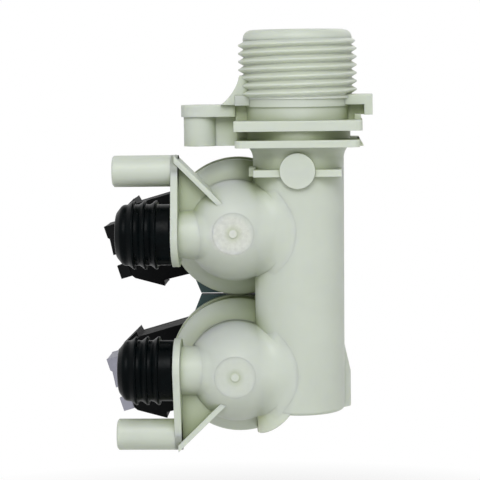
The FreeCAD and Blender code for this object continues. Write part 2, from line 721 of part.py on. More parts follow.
def make_regulator():
    seat = -size("inlet_bore_depth")
    disc = rod("regulator_disc", size("inlet_bore_radius") - size("fit_gap"), size("regulator_thick"),
               (0, 0, 0), ALONG_Z)
    post = rod("regulator_post", size("regulator_hub_radius"), size("regulator_thick") + size("regulator_hub"),
               (0, 0, 0), ALONG_Z)
    hole = rod("regulator_hole", size("regulator_hole_radius"), size("regulator_thick"),
               (size("regulator_circle"), 0, 0), ALONG_Z)
    document.recompute()
    holes = around("regulator_holes", hole, int(NUMBERS["regulator_holes"]), FreeCAD.Vector(0, 0, 1))
    carrier = cut("regulator", joined("regulator_solid", [disc, post]), holes)
    place(carrier, (0, 0, seat))
    node("flow_regulator", carrier)
    bottom = seat + size("regulator_thick")
    inner = size("regulator_hub_radius") + size("fit_gap")
    half = size("washer_thick") / 2
    washer = turned("washer", "XZ_Plane", [
        (inner, ZERO),
        (size("washer_radius") - half, ZERO, half, -1),
        (size("washer_radius"), half, half, -1),
        (size("washer_radius") - half, half * 2),
        (inner, half * 2),
    ])
    place(washer, (0, 0, bottom))
    return node("regulator_ring", washer)


# Pieces at an outlet: the rubber seal with three lips that lean towards the plate.

def make_seal(side, sign):
    base = size("seal_radius")
    tip = size("seal_lip_radius")
    mouth = size("seal_mouth_radius")
    inner = size("nozzle_radius") + size("fit_gap")
    end = size("plate_reach") - size("seal_reach")
    bottom = size("plate_reach") - size("nozzle_reach") - size("fit_gap")
    lips = []
    for step in range(3):
        root = -size("lip_root") - size("lip_pitch") * step
        lips += [
            (root, base),
            (root + size("lip_lean"), tip),
            (root - size("lip_slope"), base),
        ]
    seal = turned(f"{side}_seal", "XY_Plane", [
        (ZERO, inner),
        (ZERO, base),
    ] + lips + [
        (end + size("seal_nose"), base, 2.6, -1),
        (end, size("seal_nose_radius")),
        (end, mouth),
        (bottom, mouth),
        (bottom, inner),
    ], "H_Axis")
    place(seal, (-size("plate_reach"), outlet_y, level_of("outlet_pitch", sign)))
    return node(f"{side}_outlet_seal", seal)


# Pieces on a chamber's axis: diaphragm, its insert, the bonnet with the guide tube, plunger, tip and spring.

def on_axis(item, sign):
    return place(item, (chamber_x, 0, level_of("chamber_pitch", sign)))


HUB_FRONT = size("seat_back") + size("fit_gap")
HUB_BACK = HUB_FRONT + size("hub_thick")
INSERT_FRONT = HUB_BACK + size("fit_gap")
NIB_BACK = INSERT_FRONT + size("insert_head") + size("insert_nib")
PLUNGER_FRONT = NIB_BACK + size("plunger_rise")
PLUNGER_BACK = PLUNGER_FRONT + size("plunger_length")


def make_diaphragm(side, sign):
    face = size("ring_face_back")
    web_front = face - size("web_rubber")
    bead_radius = size("ledge_radius") - size("fit_gap")
    bead_inner = size("chamber_bore_radius") + size("fit_gap")
    diaphragm = turned(f"{side}_diaphragm_rubber", "XY_Plane", [
        (size("insert_stem_radius") + size("fit_gap"), HUB_FRONT),
        (size("hub_radius"), HUB_FRONT),
        (size("hub_radius"), web_front),
        (bead_inner, web_front),
        (bead_inner, face - size("ledge_depth") + size("fit_gap")),
        (bead_radius, face - size("ledge_depth") + size("fit_gap")),
        (bead_radius, face),
        (size("hub_radius"), face),
        (size("hub_radius"), HUB_BACK),
        (size("insert_stem_radius") + size("fit_gap"), HUB_BACK),
    ])
    return node(f"{side}_diaphragm", on_axis(diaphragm, sign))


def make_insert(side, sign):
    hole = size("pilot_hole_radius")
    foot_back = HUB_FRONT - size("fit_gap")
    insert = turned(f"{side}_insert", "XY_Plane", [
        (hole, foot_back - size("insert_foot")),
        (size("insert_stem_radius"), foot_back - size("insert_foot")),
        (size("insert_foot_radius"), foot_back),
        (size("insert_stem_radius"), foot_back),
        (size("insert_stem_radius"), INSERT_FRONT),
        (size("insert_radius"), INSERT_FRONT),
        (size("insert_radius"), INSERT_FRONT + size("insert_head")),
        (size("insert_nib_radius"), INSERT_FRONT + size("insert_head")),
        (size("insert_nib_radius") - 0.4, NIB_BACK),
        (hole, NIB_BACK),
    ])
    return node(f"{side}_diaphragm_insert", on_axis(insert, sign))


def make_bonnet(side, sign):
    """Flange, pressure chamber and guide tube in one moulding, with a tongue that fills the waist."""
    face = size("ring_face_back")
    radius = size("bonnet_radius")
    flange_back = face + size("bonnet_flange")
    step_back = size("bonnet_step_back")
    guide = size("guide_radius")
    end = size("guide_end_back")
    edge = size("bonnet_edge")
    outside = turned(f"{side}_bonnet_turned", "XY_Plane", [
        (ZERO, face),
        (radius, face),
        (radius, flange_back - edge),
        (radius - edge, flange_back),
        (size("bonnet_step_radius"), flange_back),
        (size("bonnet_step_radius"), step_back - edge),
        (size("bonnet_step_radius") - edge, step_back),
        (guide, step_back),
        (guide, end - edge),
        (guide - edge, end),
        (ZERO, end),
    ])
    limit = (size("bonnet_gap") - size("chamber_pitch") / 2) * sign
    root = size("waist_root_half_width")
    waist = size("waist_half_width")
    root_level = -size("bonnet_radius") / 2 * sign
    tongue = padded(f"{side}_bonnet_tongue", "XZ_Plane", [
        (-root, root_level),
        (-waist, limit),
        (waist, limit),
        (root, root_level),
    ], size("bonnet_flange"))
    place(tongue, (0, flange_back, 0))
    recess = turned(f"{side}_bonnet_recess", "XY_Plane", [
        (ZERO, face - 1),
        (size("bonnet_recess_radius"), face - 1),
        (size("bonnet_recess_radius"), face + size("bonnet_recess")),
        (size("guide_bore_radius"), face + size("bonnet_recess")),
        (size("guide_bore_radius"), end - size("guide_end_wall")),
        (ZERO, end - size("guide_end_wall")),
    ])
    whole = joined(f"{side}_bonnet_whole", [outside, tongue])
    return node(f"{side}_bonnet", on_axis(cut(f"{side}_bonnet_hollow", whole, recess), sign))


def make_plunger(side, sign):
    radius = size("guide_bore_radius") - size("running_gap")
    pocket_front = PLUNGER_BACK - size("spring_pocket")
    tip_back = NIB_BACK + size("tip_gap") + size("tip_length")
    tip_radius = size("tip_radius") + size("fit_gap")
    plunger = turned(f"{side}_plunger_turned", "XY_Plane", [
        (tip_radius, PLUNGER_FRONT),
        (radius - 0.6, PLUNGER_FRONT),
        (radius, PLUNGER_FRONT + 0.6),
        (radius, PLUNGER_BACK - 0.4),
        (radius - 0.4, PLUNGER_BACK),
        (size("spring_pocket_radius"), PLUNGER_BACK),
        (size("spring_pocket_radius"), pocket_front),
        (ZERO, pocket_front),
        (ZERO, tip_back),
        (tip_radius, tip_back),
    ])
    node(f"{side}_plunger", on_axis(plunger, sign))
    tip = turned(f"{side}_tip", "XY_Plane", [
        (ZERO, NIB_BACK + size("tip_gap")),
        (size("tip_radius") - 0.3, NIB_BACK + size("tip_gap")),
        (size("tip_radius"), NIB_BACK + size("tip_gap") + 0.3),
        (size("tip_radius"), tip_back - size("fit_gap")),
        (ZERO, tip_back - size("fit_gap")),
    ])
    return node(f"{side}_plunger_tip", on_axis(tip, sign))


def make_spring(side, sign):
    """A coil spring between the plunger's pocket and the closed end of the guide tube."""
    wire = size("spring_wire")
    start = PLUNGER_BACK - size("spring_pocket") + wire + size("fit_gap")
    end = size("guide_end_back") - size("guide_end_wall") - wire - size("fit_gap")
    path = document.addObject("Part::Helix", f"{side}_spring_path")
    path.setExpression("Radius", size("spring_radius").text)
    path.setExpression("Height", (end - start).text)
    path.setExpression("Pitch", f"{(end - start).text} / Sizes.spring_turns")
    section = document.addObject("Part::RegularPolygon", f"{side}_spring_section")
    section.setExpression("Polygon", "Sizes.spring_facets")
    section.setExpression("Circumradius", wire.text)
    place(section, (size("spring_radius"), 0, 0), ALONG_Y)
    spring = document.addObject("Part::Sweep", f"{side}_spring")
    spring.Sections = [section]
    spring.Spine = (path, ["Edge1"])
    spring.Solid = True
    spring.Frenet = True
    place(spring, (chamber_x, start, level_of("chamber_pitch", sign)), ALONG_Y)
    return node(f"{side}_plunger_spring", spring)


# The coil of each valve, along Y, with its connector to the left, then turned down by the plug's angle.

YOKE_FRONT = size("bonnet_step_back") + size("fit_gap")
COIL_FRONT = YOKE_FRONT + size("yoke_thick") + size("fit_gap")
COIL_BACK = COIL_FRONT + size("coil_length")
YOKE_BACK = COIL_BACK + size("fit_gap") + size("yoke_thick")
GUIDE_HOLE = size("guide_radius") + size("fit_gap")
SLEEVE_RADIUS = GUIDE_HOLE + size("sleeve_thick")


def on_coil(item, sign):
    """Put a piece on the chamber's axis and turn it by the connector's angle."""
    item.Placement = FreeCAD.Placement(FreeCAD.Vector(), FreeCAD.Rotation(FreeCAD.Vector(0, -1, 0), 1))
    item.setExpression("Placement.Rotation.Angle", "Sizes.plug_angle")
    return on_axis(item, sign)


def level_block(name, low, high):
    """A box given by (outwards, back, across) corners: outwards is to the left of the coil's axis."""
    return block(name, (-high[0], low[1], low[2]), (-low[0], high[1], high[2]))


def make_bobbin(side, sign):
    inner = SLEEVE_RADIUS + size("fit_gap")
    barrel = inner + size("bobbin_wall")
    flange_radius = size("bobbin_flange_radius")
    bobbin = turned(f"{side}_bobbin_turned", "XY_Plane", [
        (inner, COIL_FRONT),
        (flange_radius, COIL_FRONT),
        (flange_radius, COIL_FRONT + size("bobbin_flange")),
        (barrel, COIL_FRONT + size("bobbin_flange")),
        (barrel, COIL_BACK - size("bobbin_flange")),
        (flange_radius, COIL_BACK - size("bobbin_flange")),
        (flange_radius, COIL_BACK),
        (inner, COIL_BACK),
    ])
    node(f"{side}_bobbin", on_axis(bobbin, sign))
    winding = turned(f"{side}_winding_turned", "XY_Plane", [
        (barrel, COIL_FRONT + size("bobbin_flange")),
        (size("winding_radius"), COIL_FRONT + size("bobbin_flange")),
        (size("winding_radius"), COIL_BACK - size("bobbin_flange")),
        (barrel, COIL_BACK - size("bobbin_flange")),
    ])
    node(f"{side}_winding", on_axis(winding, sign))
    sleeve = turned(f"{side}_sleeve_turned", "XY_Plane", [
        (GUIDE_HOLE, YOKE_BACK - size("sleeve_length")),
        (SLEEVE_RADIUS, YOKE_BACK - size("sleeve_length")),
        (SLEEVE_RADIUS, YOKE_BACK),
        (GUIDE_HOLE, YOKE_BACK),
    ])
    return node(f"{side}_flux_sleeve", on_axis(sleeve, sign))


def make_yoke(side, sign):
    """Steel frame bent from one strip: two plates and the side that joins them, away from the connector."""
    half = size("yoke_half_width")
    outer = size("yoke_side")
    corner = size("yoke_corner")
    open_edge = size("yoke_open_side")
    thick = size("yoke_thick")
    plan = padded(f"{side}_yoke_plan", "XZ_Plane", [
        (-open_edge, corner - half),
        (corner - open_edge, -half),
        (outer, -half),
        (outer, half),
        (corner - open_edge, half),
        (-open_edge, half - corner),
    ], YOKE_BACK - YOKE_FRONT)
    place(plan, (0, YOKE_BACK, 0))
    inside = block(f"{side}_yoke_inside", (open_edge * -2, YOKE_FRONT + thick, half * -2),
                   (outer - thick, YOKE_BACK - thick, half * 2))
    front_hole = rod(f"{side}_yoke_front_hole", GUIDE_HOLE, thick * 2, (0, YOKE_FRONT - thick / 2, 0), ALONG_Y)
    back_hole = rod(f"{side}_yoke_back_hole", SLEEVE_RADIUS, thick * 2, (0, YOKE_BACK - thick * 1.5, 0), ALONG_Y)
    holes = joined(f"{side}_yoke_holes", [inside, front_hole, back_hole])
    return node(f"{side}_yoke", on_coil(cut(f"{side}_yoke_bent", plan, holes), sign))


def make_housing(side, sign):
    """Moulded jacket of the coil with its connector: block, two teeth, tapered shroud and open socket."""
    front = size("plug_back")
    back = front + size("plug_depth")
    half = size("plug_half_width")
    tooth = size("tooth_reach")
    mouth = size("mouth_reach")
    jacket = turned(f"{side}_jacket", "XY_Plane", [
        (size("bobbin_flange_radius"), COIL_FRONT),
        (size("housing_radius") - 0.6, COIL_FRONT),
        (size("housing_radius"), COIL_FRONT + 0.6),
        (size("housing_radius"), COIL_BACK - 0.6),
        (size("housing_radius") - 0.6, COIL_BACK),
        (size("bobbin_flange_radius"), COIL_BACK),
    ])
    plug = padded(f"{side}_plug", "XZ_Plane", [
        (ZERO, -half),
        (size("tooth_undercut") - tooth, -half),
        (-tooth, -size("tooth_half_width")),
        (-mouth, -size("mouth_half_width")),
        (-mouth, size("mouth_half_width")),
        (-tooth, size("tooth_half_width")),
        (size("tooth_undercut") - tooth, half),
        (ZERO, half),
    ], size("plug_depth"))
    place(plug, (0, back, 0))
    core = rod(f"{side}_jacket_core", size("bobbin_flange_radius"), YOKE_BACK, (0, 0, 0), ALONG_Y)
    socket = level_block(f"{side}_socket", (mouth - size("socket_depth"), front + size("socket_wall"),
                                            -size("socket_half_width")),
                         (mouth + 1, back - size("socket_wall"), size("socket_half_width")))
    hollow = joined(f"{side}_housing_spaces", [core, socket] + tab_blocks(f"{side}_tab_slot"))
    housing = cut(f"{side}_housing", joined(f"{side}_housing_solid", [jacket, plug]), hollow)
    return node(f"{side}_coil_housing", on_coil(housing, sign))


def tab_blocks(name):
    """The two terminal tabs, as boxes beside each other across the connector."""
    middle_back = size("plug_back") + size("plug_depth") / 2
    half_width = size("tab_width") / 2
    half_thick = size("tab_thick") / 2
    tabs = []
    for number, way in enumerate((-0.5, 0.5), start=1):
        across = size("tab_pitch") * way
        tabs.append(level_block(f"{name}_{number}",
                                (size("tab_root"), middle_back - half_width, across - half_thick),
                                (size("tab_reach"), middle_back + half_width, across + half_thick)))
    return tabs


def make_terminals(side, sign):
    pair = document.addObject("Part::Compound", f"{side}_terminal_pair")
    pair.Links = tab_blocks(f"{side}_terminal")
    return node(f"{side}_terminals", on_coil(pair, sign))


def make_coding_frame(side, sign):
    """Frame at the connector's mouth, with a spigot pushed into the socket."""
    front = size("plug_back")
    back = front + size("plug_depth")
    mouth = size("mouth_reach") + size("fit_gap")
    half = size("key_half_width")
    wall = size("key_wall")
    gap = size("fit_gap")
    spigot_half = size("socket_half_width") - gap
    spigot_front = front + size("socket_wall") + gap
    spigot_back = back - size("socket_wall") - gap
    inner_half = spigot_half - size("key_spigot_wall")
    rim = level_block(f"{side}_key_rim", (mouth, front, -half), (size("key_reach"), back, half))
    spigot = level_block(f"{side}_key_spigot", (mouth - size("key_spigot"), spigot_front, -spigot_half),
                         (mouth + 1, spigot_back, spigot_half))
    opening = level_block(f"{side}_key_opening", (mouth - size("key_spigot") - 1, front + wall + gap, -inner_half),
                          (size("key_reach") + 1, back - wall - gap, inner_half))
    frame = cut(f"{side}_key", joined(f"{side}_key_solid", [rim, spigot]), opening)
    return node(f"{side}_coding_frame", on_coil(frame, sign))


def make_clip(side, sign):
    """Push-on spring washer at the guide tube's end, which holds the coil."""
    front = YOKE_BACK + size("fit_gap")
    back = front + size("clip_thick")
    ring = turned(f"{side}_clip_ring", "XY_Plane", [
        (size("guide_radius"), front),
        (size("clip_radius"), front),
        (size("clip_radius"), back),
        (size("guide_radius"), back),
    ])
    half = size("clip_slot") / 2
    slot = block(f"{side}_clip_slot", (0, front - 1, -half), (size("guide_radius") + half * 2, back + 1, half))
    document.recompute()
    slots = around(f"{side}_clip_slots", slot, 6, FreeCAD.Vector(0, 1, 0))
    return node(f"{side}_coil_clip", on_axis(cut(f"{side}_clip", ring, slots), sign))


make_valve_body()
make_strainer()
make_regulator()
for side, sign in VALVES:
    make_seal(side, sign)
    make_diaphragm(side, sign)
    make_insert(side, sign)
    make_bonnet(side, sign)
    make_plunger(side, sign)
    make_spring(side, sign)
    make_bobbin(side, sign)
    make_yoke(side, sign)
    make_housing(side, sign)
    make_terminals(side, sign)
    make_coding_frame(side, sign)
    make_clip(side, sign)
document.recompute()

for item in document.Objects:
    if "Invalid" in item.State or "Error" in item.State:
        raise RuntimeError(f"{item.Name} failed: {item.State}")
for item in nodes:
    if item.Shape.isNull() or not item.Shape.isValid() or not item.Shape.Solids:
        raise RuntimeError(f"{item.Label} has no valid solid")

os.makedirs("parts", exist_ok=True)
for item in nodes:
    item.Shape.exportStep(f"parts/{item.Label}.step")
    box = item.Shape.BoundBox
    print(f"{item.Label}: {len(item.Shape.Solids)} solids, {item.Shape.Volume:.1f} mm3, "
          f"X {box.XMin:.2f}..{box.XMax:.2f}, Y {box.YMin:.2f}..{box.YMax:.2f}, Z {box.ZMin:.2f}..{box.ZMax:.2f}")
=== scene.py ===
import math

import bmesh
import bpy
import numpy as np
from bpy.props import FloatProperty, FloatVectorProperty, PointerProperty
from mathutils import Matrix, Vector


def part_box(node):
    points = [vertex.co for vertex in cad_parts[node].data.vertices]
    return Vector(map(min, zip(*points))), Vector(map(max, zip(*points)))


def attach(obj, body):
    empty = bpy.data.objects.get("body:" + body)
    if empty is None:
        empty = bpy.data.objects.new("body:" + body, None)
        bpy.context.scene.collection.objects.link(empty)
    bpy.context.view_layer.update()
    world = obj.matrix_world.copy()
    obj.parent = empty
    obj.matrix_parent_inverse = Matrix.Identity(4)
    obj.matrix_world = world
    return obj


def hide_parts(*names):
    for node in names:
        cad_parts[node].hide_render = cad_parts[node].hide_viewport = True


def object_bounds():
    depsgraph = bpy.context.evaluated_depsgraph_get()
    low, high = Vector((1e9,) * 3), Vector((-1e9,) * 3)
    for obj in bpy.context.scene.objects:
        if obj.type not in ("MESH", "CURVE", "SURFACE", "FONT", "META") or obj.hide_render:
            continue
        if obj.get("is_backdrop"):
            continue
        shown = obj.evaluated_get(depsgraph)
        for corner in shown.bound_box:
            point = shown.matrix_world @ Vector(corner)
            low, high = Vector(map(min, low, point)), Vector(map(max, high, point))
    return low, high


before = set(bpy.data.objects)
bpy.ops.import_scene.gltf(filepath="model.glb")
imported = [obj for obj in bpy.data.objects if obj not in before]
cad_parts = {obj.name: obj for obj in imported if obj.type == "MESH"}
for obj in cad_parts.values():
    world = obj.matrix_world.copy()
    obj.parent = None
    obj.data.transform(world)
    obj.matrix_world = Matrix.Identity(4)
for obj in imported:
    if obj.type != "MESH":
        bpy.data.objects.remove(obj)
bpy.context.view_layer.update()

bl_info = {
    "name": "Inlet Valve Finish",
    "version": (1, 0, 0),
    "blender": (4, 5, 0),
    "location": "View3D > Sidebar > Inlet Valve",
    "description": "Body shell, seals, connectors and finishes of a two-way water inlet valve",
    "category": "Object",
}

MM = 0.001
SIDES = ("upper", "lower")
VALVE = "valve"
SPOUT = 5.4     # radius of the outlets' spouts, in mm
TUBE_LEVELS = (-28.7, -84.6)    # ends of the manifold tube's straight part, in mm
FAR_BACK = 20 * MM      # depth of a place that a form doesn't reach
SHARP = math.radians(35)    # edges of a shell that turn further than this stay crisp


def linear(red, green, blue):
    """Colour in linear light, from three levels of 0 to 255 as seen on a screen."""
    levels = np.array((red, green, blue)) / 255.0
    light = np.where(levels <= 0.04045, levels / 12.92, ((levels + 0.055) / 1.055) ** 2.4)
    return tuple(float(value) for value in light)


def size_property(name, description, default):
    return FloatProperty(name=name, description=description, default=default * MM, unit="LENGTH", precision=5)


def colour_property(name, description, default):
    return FloatVectorProperty(name=name, description=description, default=default, subtype="COLOR",
                               min=0.0, max=1.0)


class ValveSizes(bpy.types.PropertyGroup):
    """Sizes that the script's own forms share."""
    thread_crest: size_property("Thread crest", "Radius over the turns of the inlet thread", 13.22)
    thread_root: size_property("Thread root", "Radius between the turns", 12.09)
    thread_pitch: size_property("Thread pitch", "Distance between the turns", 1.814)
    thread_start: size_property("Thread start", "From the rim to the first turn", 2.0)
    thread_end: size_property("Thread end", "From the rim to the last turn", 15.3)
    thread_phase: size_property("Thread phase", "From the rim to a crest on the right-hand side", 2.46)
    seal_lip: size_property("Seal lip", "Radius over the lips of an outlet seal", 7.7)
    seal_barrel: size_property("Seal barrel", "Radius of an outlet seal between its lips", 6.8)
    seal_mouth: size_property("Seal mouth", "Radius of the hole in the seal's end", 3.9)
    wire: size_property("Copper wire", "Radius of the winding's wire", 0.16)
    dome_curve: size_property("Dome curve", "Radius of a dome's curve", 11.35)
    dome_middle: size_property("Dome middle", "Middle of that curve in front of the inlet axis", 2.07)
    tube_top: size_property("Tube, top", "Radius of the manifold tube under the neck", 10.2)
    tube_foot: size_property("Tube, foot", "Radius of the manifold tube at its closed end", 9.95)
    sink: size_property("Sink", "How far a dome's skin dips under the spout; a quarter for the tube", 0.1)
    blend: size_property("Blend", "Width over which a dome runs into the tube", 7.5)
    apex_disc: size_property("Apex disc", "Radius of the frosted disc on a dome", 4.7)


class ValveColours(bpy.types.PropertyGroup):
    """Colours of the valve's finishes."""
    nylon: colour_property("Nylon", "Body, where light falls", linear(198, 205, 194))
    # Painted shade: the darker, yellower body colour put in pockets and grooves, at each dome's foot and round each
    # pip.
    nylon_painted_shade: colour_property("Nylon, deep", "Body, in its pockets and grooves", linear(158, 169, 130))
    # Painted shade: the body colour for surfaces that face down.
    underside_shade: colour_property("Nylon, underside", "Body, where it faces down", linear(162, 169, 152))
    # The frosted disc's own colour; the upper disc takes much more of it, partly as a painted highlight.
    frosted: colour_property("Frosted disc", "Matt disc on each dome", linear(208, 211, 203))
    teal: colour_property("Bonnets", "Covers behind the chambers", linear(58, 84, 86))
    black: colour_property("Coil jackets", "Moulded jackets and connectors", linear(9, 10, 11))
    rubber: colour_property("Seals", "Outlet seals", linear(3, 6, 7))
    lavender: colour_property("Lower frame", "Coding frame of the lower connector", linear(150, 150, 163))
    steel: colour_property("Steel", "Yokes, clips and sleeves", (0.56, 0.57, 0.58))
    copper: colour_property("Copper", "Winding", linear(196, 112, 70))
    brass: colour_property("Terminals", "Tinned tabs", linear(214, 206, 182))
    floor: colour_property("Floor", "Floor and backdrop", (0.93, 0.93, 0.93))


class ValveView(bpy.types.PropertyGroup):
    """The photograph's point of view."""
    azimuth: FloatProperty(name="Azimuth", description="Camera to the right of the front",
                           default=math.radians(3.07), subtype="ANGLE")
    elevation: FloatProperty(name="Elevation", description="Camera above the level", default=math.radians(5.36),
                             subtype="ANGLE")
    roll: FloatProperty(name="Roll", description="Turn of the picture", default=0.0135, subtype="ANGLE")
    distance: FloatProperty(name="Distance", description="Camera to the point it looks at", default=0.4097,
                            unit="LENGTH")
    focal: FloatProperty(name="Focal length", description="In widths of the picture", default=1814.6 / 480)
    across: size_property("Look across", "Point that the camera looks at, across", -13.36)
    level: size_property("Look level", "Point that the camera looks at, up", -46.99)


def sizes():
    return bpy.context.scene.valve_sizes


def colours():
    return bpy.context.scene.valve_colours


# Meshes

def grid_faces(rows, columns, close_rows=False):
    """Faces of a grid of rows x columns points. Each row is a ring; closed rows join the last ring to the first."""
    row = np.arange(rows if close_rows else rows - 1)[:, None]
    column = np.arange(columns)[None, :]
    below = (row + 1) % rows
    beside = (column + 1) % columns
    corners = [row * columns + column, row * columns + beside, below * columns + beside, below * columns + column]
    return np.stack([corner.reshape(-1) for corner in np.broadcast_arrays(*corners)], axis=1)


def make_piece(name, points, faces, material):
    """A smooth mesh object from arrays of points and four-cornered faces."""
    mesh = bpy.data.meshes.new(name)
    mesh.from_pydata(points.reshape(-1, 3).tolist(), [], faces.tolist())
    mesh.polygons.foreach_set("use_smooth", np.full(len(mesh.polygons), True))
    mesh.materials.append(material)
    mesh.validate()
    piece = bpy.data.objects.new(name, mesh)
    bpy.context.scene.collection.objects.link(piece)
    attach(piece, VALVE)
    return piece


def rounded(corners, radii, steps=5):
    """A closed outline with its corners rounded: each corner is left by a quadratic curve that starts and
    ends one radius away from it, (1 - t)^2 before + 2 t (1 - t) corner + t^2 after."""
    corners = np.array(corners, float)
    before = np.roll(corners, 1, axis=0) - corners
    after = np.roll(corners, -1, axis=0) - corners
    reach = np.minimum(np.linalg.norm(before, axis=1), np.linalg.norm(after, axis=1)) * 0.49
    reach = np.minimum(np.array(radii, float), reach)[:, None]
    start = corners + before / np.linalg.norm(before, axis=1)[:, None] * reach
    end = corners + after / np.linalg.norm(after, axis=1)[:, None] * reach
    part = np.linspace(0, 1, steps)[None, :, None]
    curve = (1 - part) ** 2 * start[:, None] + 2 * part * (1 - part) * corners[:, None] + part ** 2 * end[:, None]
    return curve.reshape(-1, 2)


def turned_points(outline, axis, centre, steps):
    """Outline points (along, radius) carried round an axis: the point at angle a is
    centre + along * axis + radius * (cos a * first + sin a * second)."""
    axis = np.array(axis, float)
    first = np.array((0, 0, 1.0)) if abs(axis[2]) < 0.5 else np.array((1.0, 0, 0))
    second = np.cross(axis, first)
    angle = np.linspace(0, 2 * math.pi, steps, endpoint=False)[None, :, None]
    along = outline[:, 0][:, None, None] * axis
    spoke = np.cos(angle) * first + np.sin(angle) * second
    return np.array(centre, float) + along + outline[:, 1][:, None, None] * spoke


def arc(start, end, radius, steps=14):
    """Points on the short arc between two points; it bulges to the left of the way for a positive radius:
    middle = half way + n * sqrt(radius^2 - (chord / 2)^2), with n across the chord."""
    start, end = np.array(start, float), np.array(end, float)
    chord = end - start
    length = np.linalg.norm(chord)
    across = np.array((chord[1], -chord[0])) / length * math.copysign(1, radius)
    middle = (start + end) / 2 + across * math.sqrt(radius ** 2 - length ** 2 / 4)
    first = math.atan2(*(start - middle)[::-1])
    last = math.atan2(*(end - middle)[::-1])
    turn = (last - first + math.pi) % (2 * math.pi) - math.pi
    angle = first + turn * np.linspace(0, 1, steps)
    return (middle + abs(radius) * np.stack([np.cos(angle), np.sin(angle)], axis=1)).tolist()


class Shell:
    """Closed forms that run into one another, gathered into one mesh. Their numbers are millimetres."""

    def __init__(self):
        self.points = []
        self.faces = []
        self.count = 0

    def add(self, points, faces):
        points = np.asarray(points, float).reshape(-1, 3) * MM
        self.points.append(points)
        self.faces += [tuple(int(index) + self.count for index in face) for face in faces]
        self.count += len(points)

    def turn(self, outline, axis, centre, steps=128):
        """An outline (along, radius) carried round an axis, with a flat face at each of its ends."""
        points = turned_points(np.array(outline, float), axis, centre, steps)
        rows = len(outline)
        faces = grid_faces(rows, steps).tolist()
        self.add(points, faces + [range(steps), range((rows - 1) * steps, rows * steps)])

    def prism(self, outline, along, start, end):
        """A flat outline carried along X, Y or Z. The outline gives the two other places in the order X, Y, Z."""
        outline = np.array(outline, float)
        count = len(outline)
        rings = [np.insert(outline, along, place, axis=1) for place in (start, end)]
        self.add(np.concatenate(rings), grid_faces(2, count).tolist() + [range(count), range(count, 2 * count)])

    def block(self, low, high):
        self.prism([(low[0], low[1]), (high[0], low[1]), (high[0], high[1]), (low[0], high[1])], 2, low[2], high[2])

    def mesh(self, name):
        """One mesh with all its faces turned outwards."""
        build = bmesh.new()
        corners = [build.verts.new(point) for point in np.concatenate(self.points)]
        for face in self.faces:
            build.faces.new([corners[index] for index in face])
        bmesh.ops.recalc_face_normals(build, faces=build.faces)
        mesh = bpy.data.meshes.new(name)
        build.to_mesh(mesh)
        build.free()
        return mesh


def show_shell(shell, name, node, material):
    """Show the gathered forms in place of a solid."""
    mesh = shell.mesh(name)
    mesh.materials.append(material)
    mesh.set_sharp_from_angle(angle=SHARP)
    piece = bpy.data.objects.new(name, mesh)
    bpy.context.scene.collection.objects.link(piece)
    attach(piece, VALVE)
    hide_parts(node)


def show_turned(name, node, outline, axis, centre, steps, material):
    """Show a closed outline, turned round an axis, in place of a solid."""
    points = turned_points(outline, axis, centre, steps)
    piece = make_piece(name, points, grid_faces(len(outline), steps, close_rows=True), material)
    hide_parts(node)
    dress(node, material)


def node_middle(node):
    """The middle of a solid's box."""
    low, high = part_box(node)
    return (np.array(low) + np.array(high)) / 2


def dome_middles():
    """Middles of the two chambers, from the plungers that move along their axes."""
    return [node_middle(f"{side}_plunger") for side in SIDES]


# Finishes

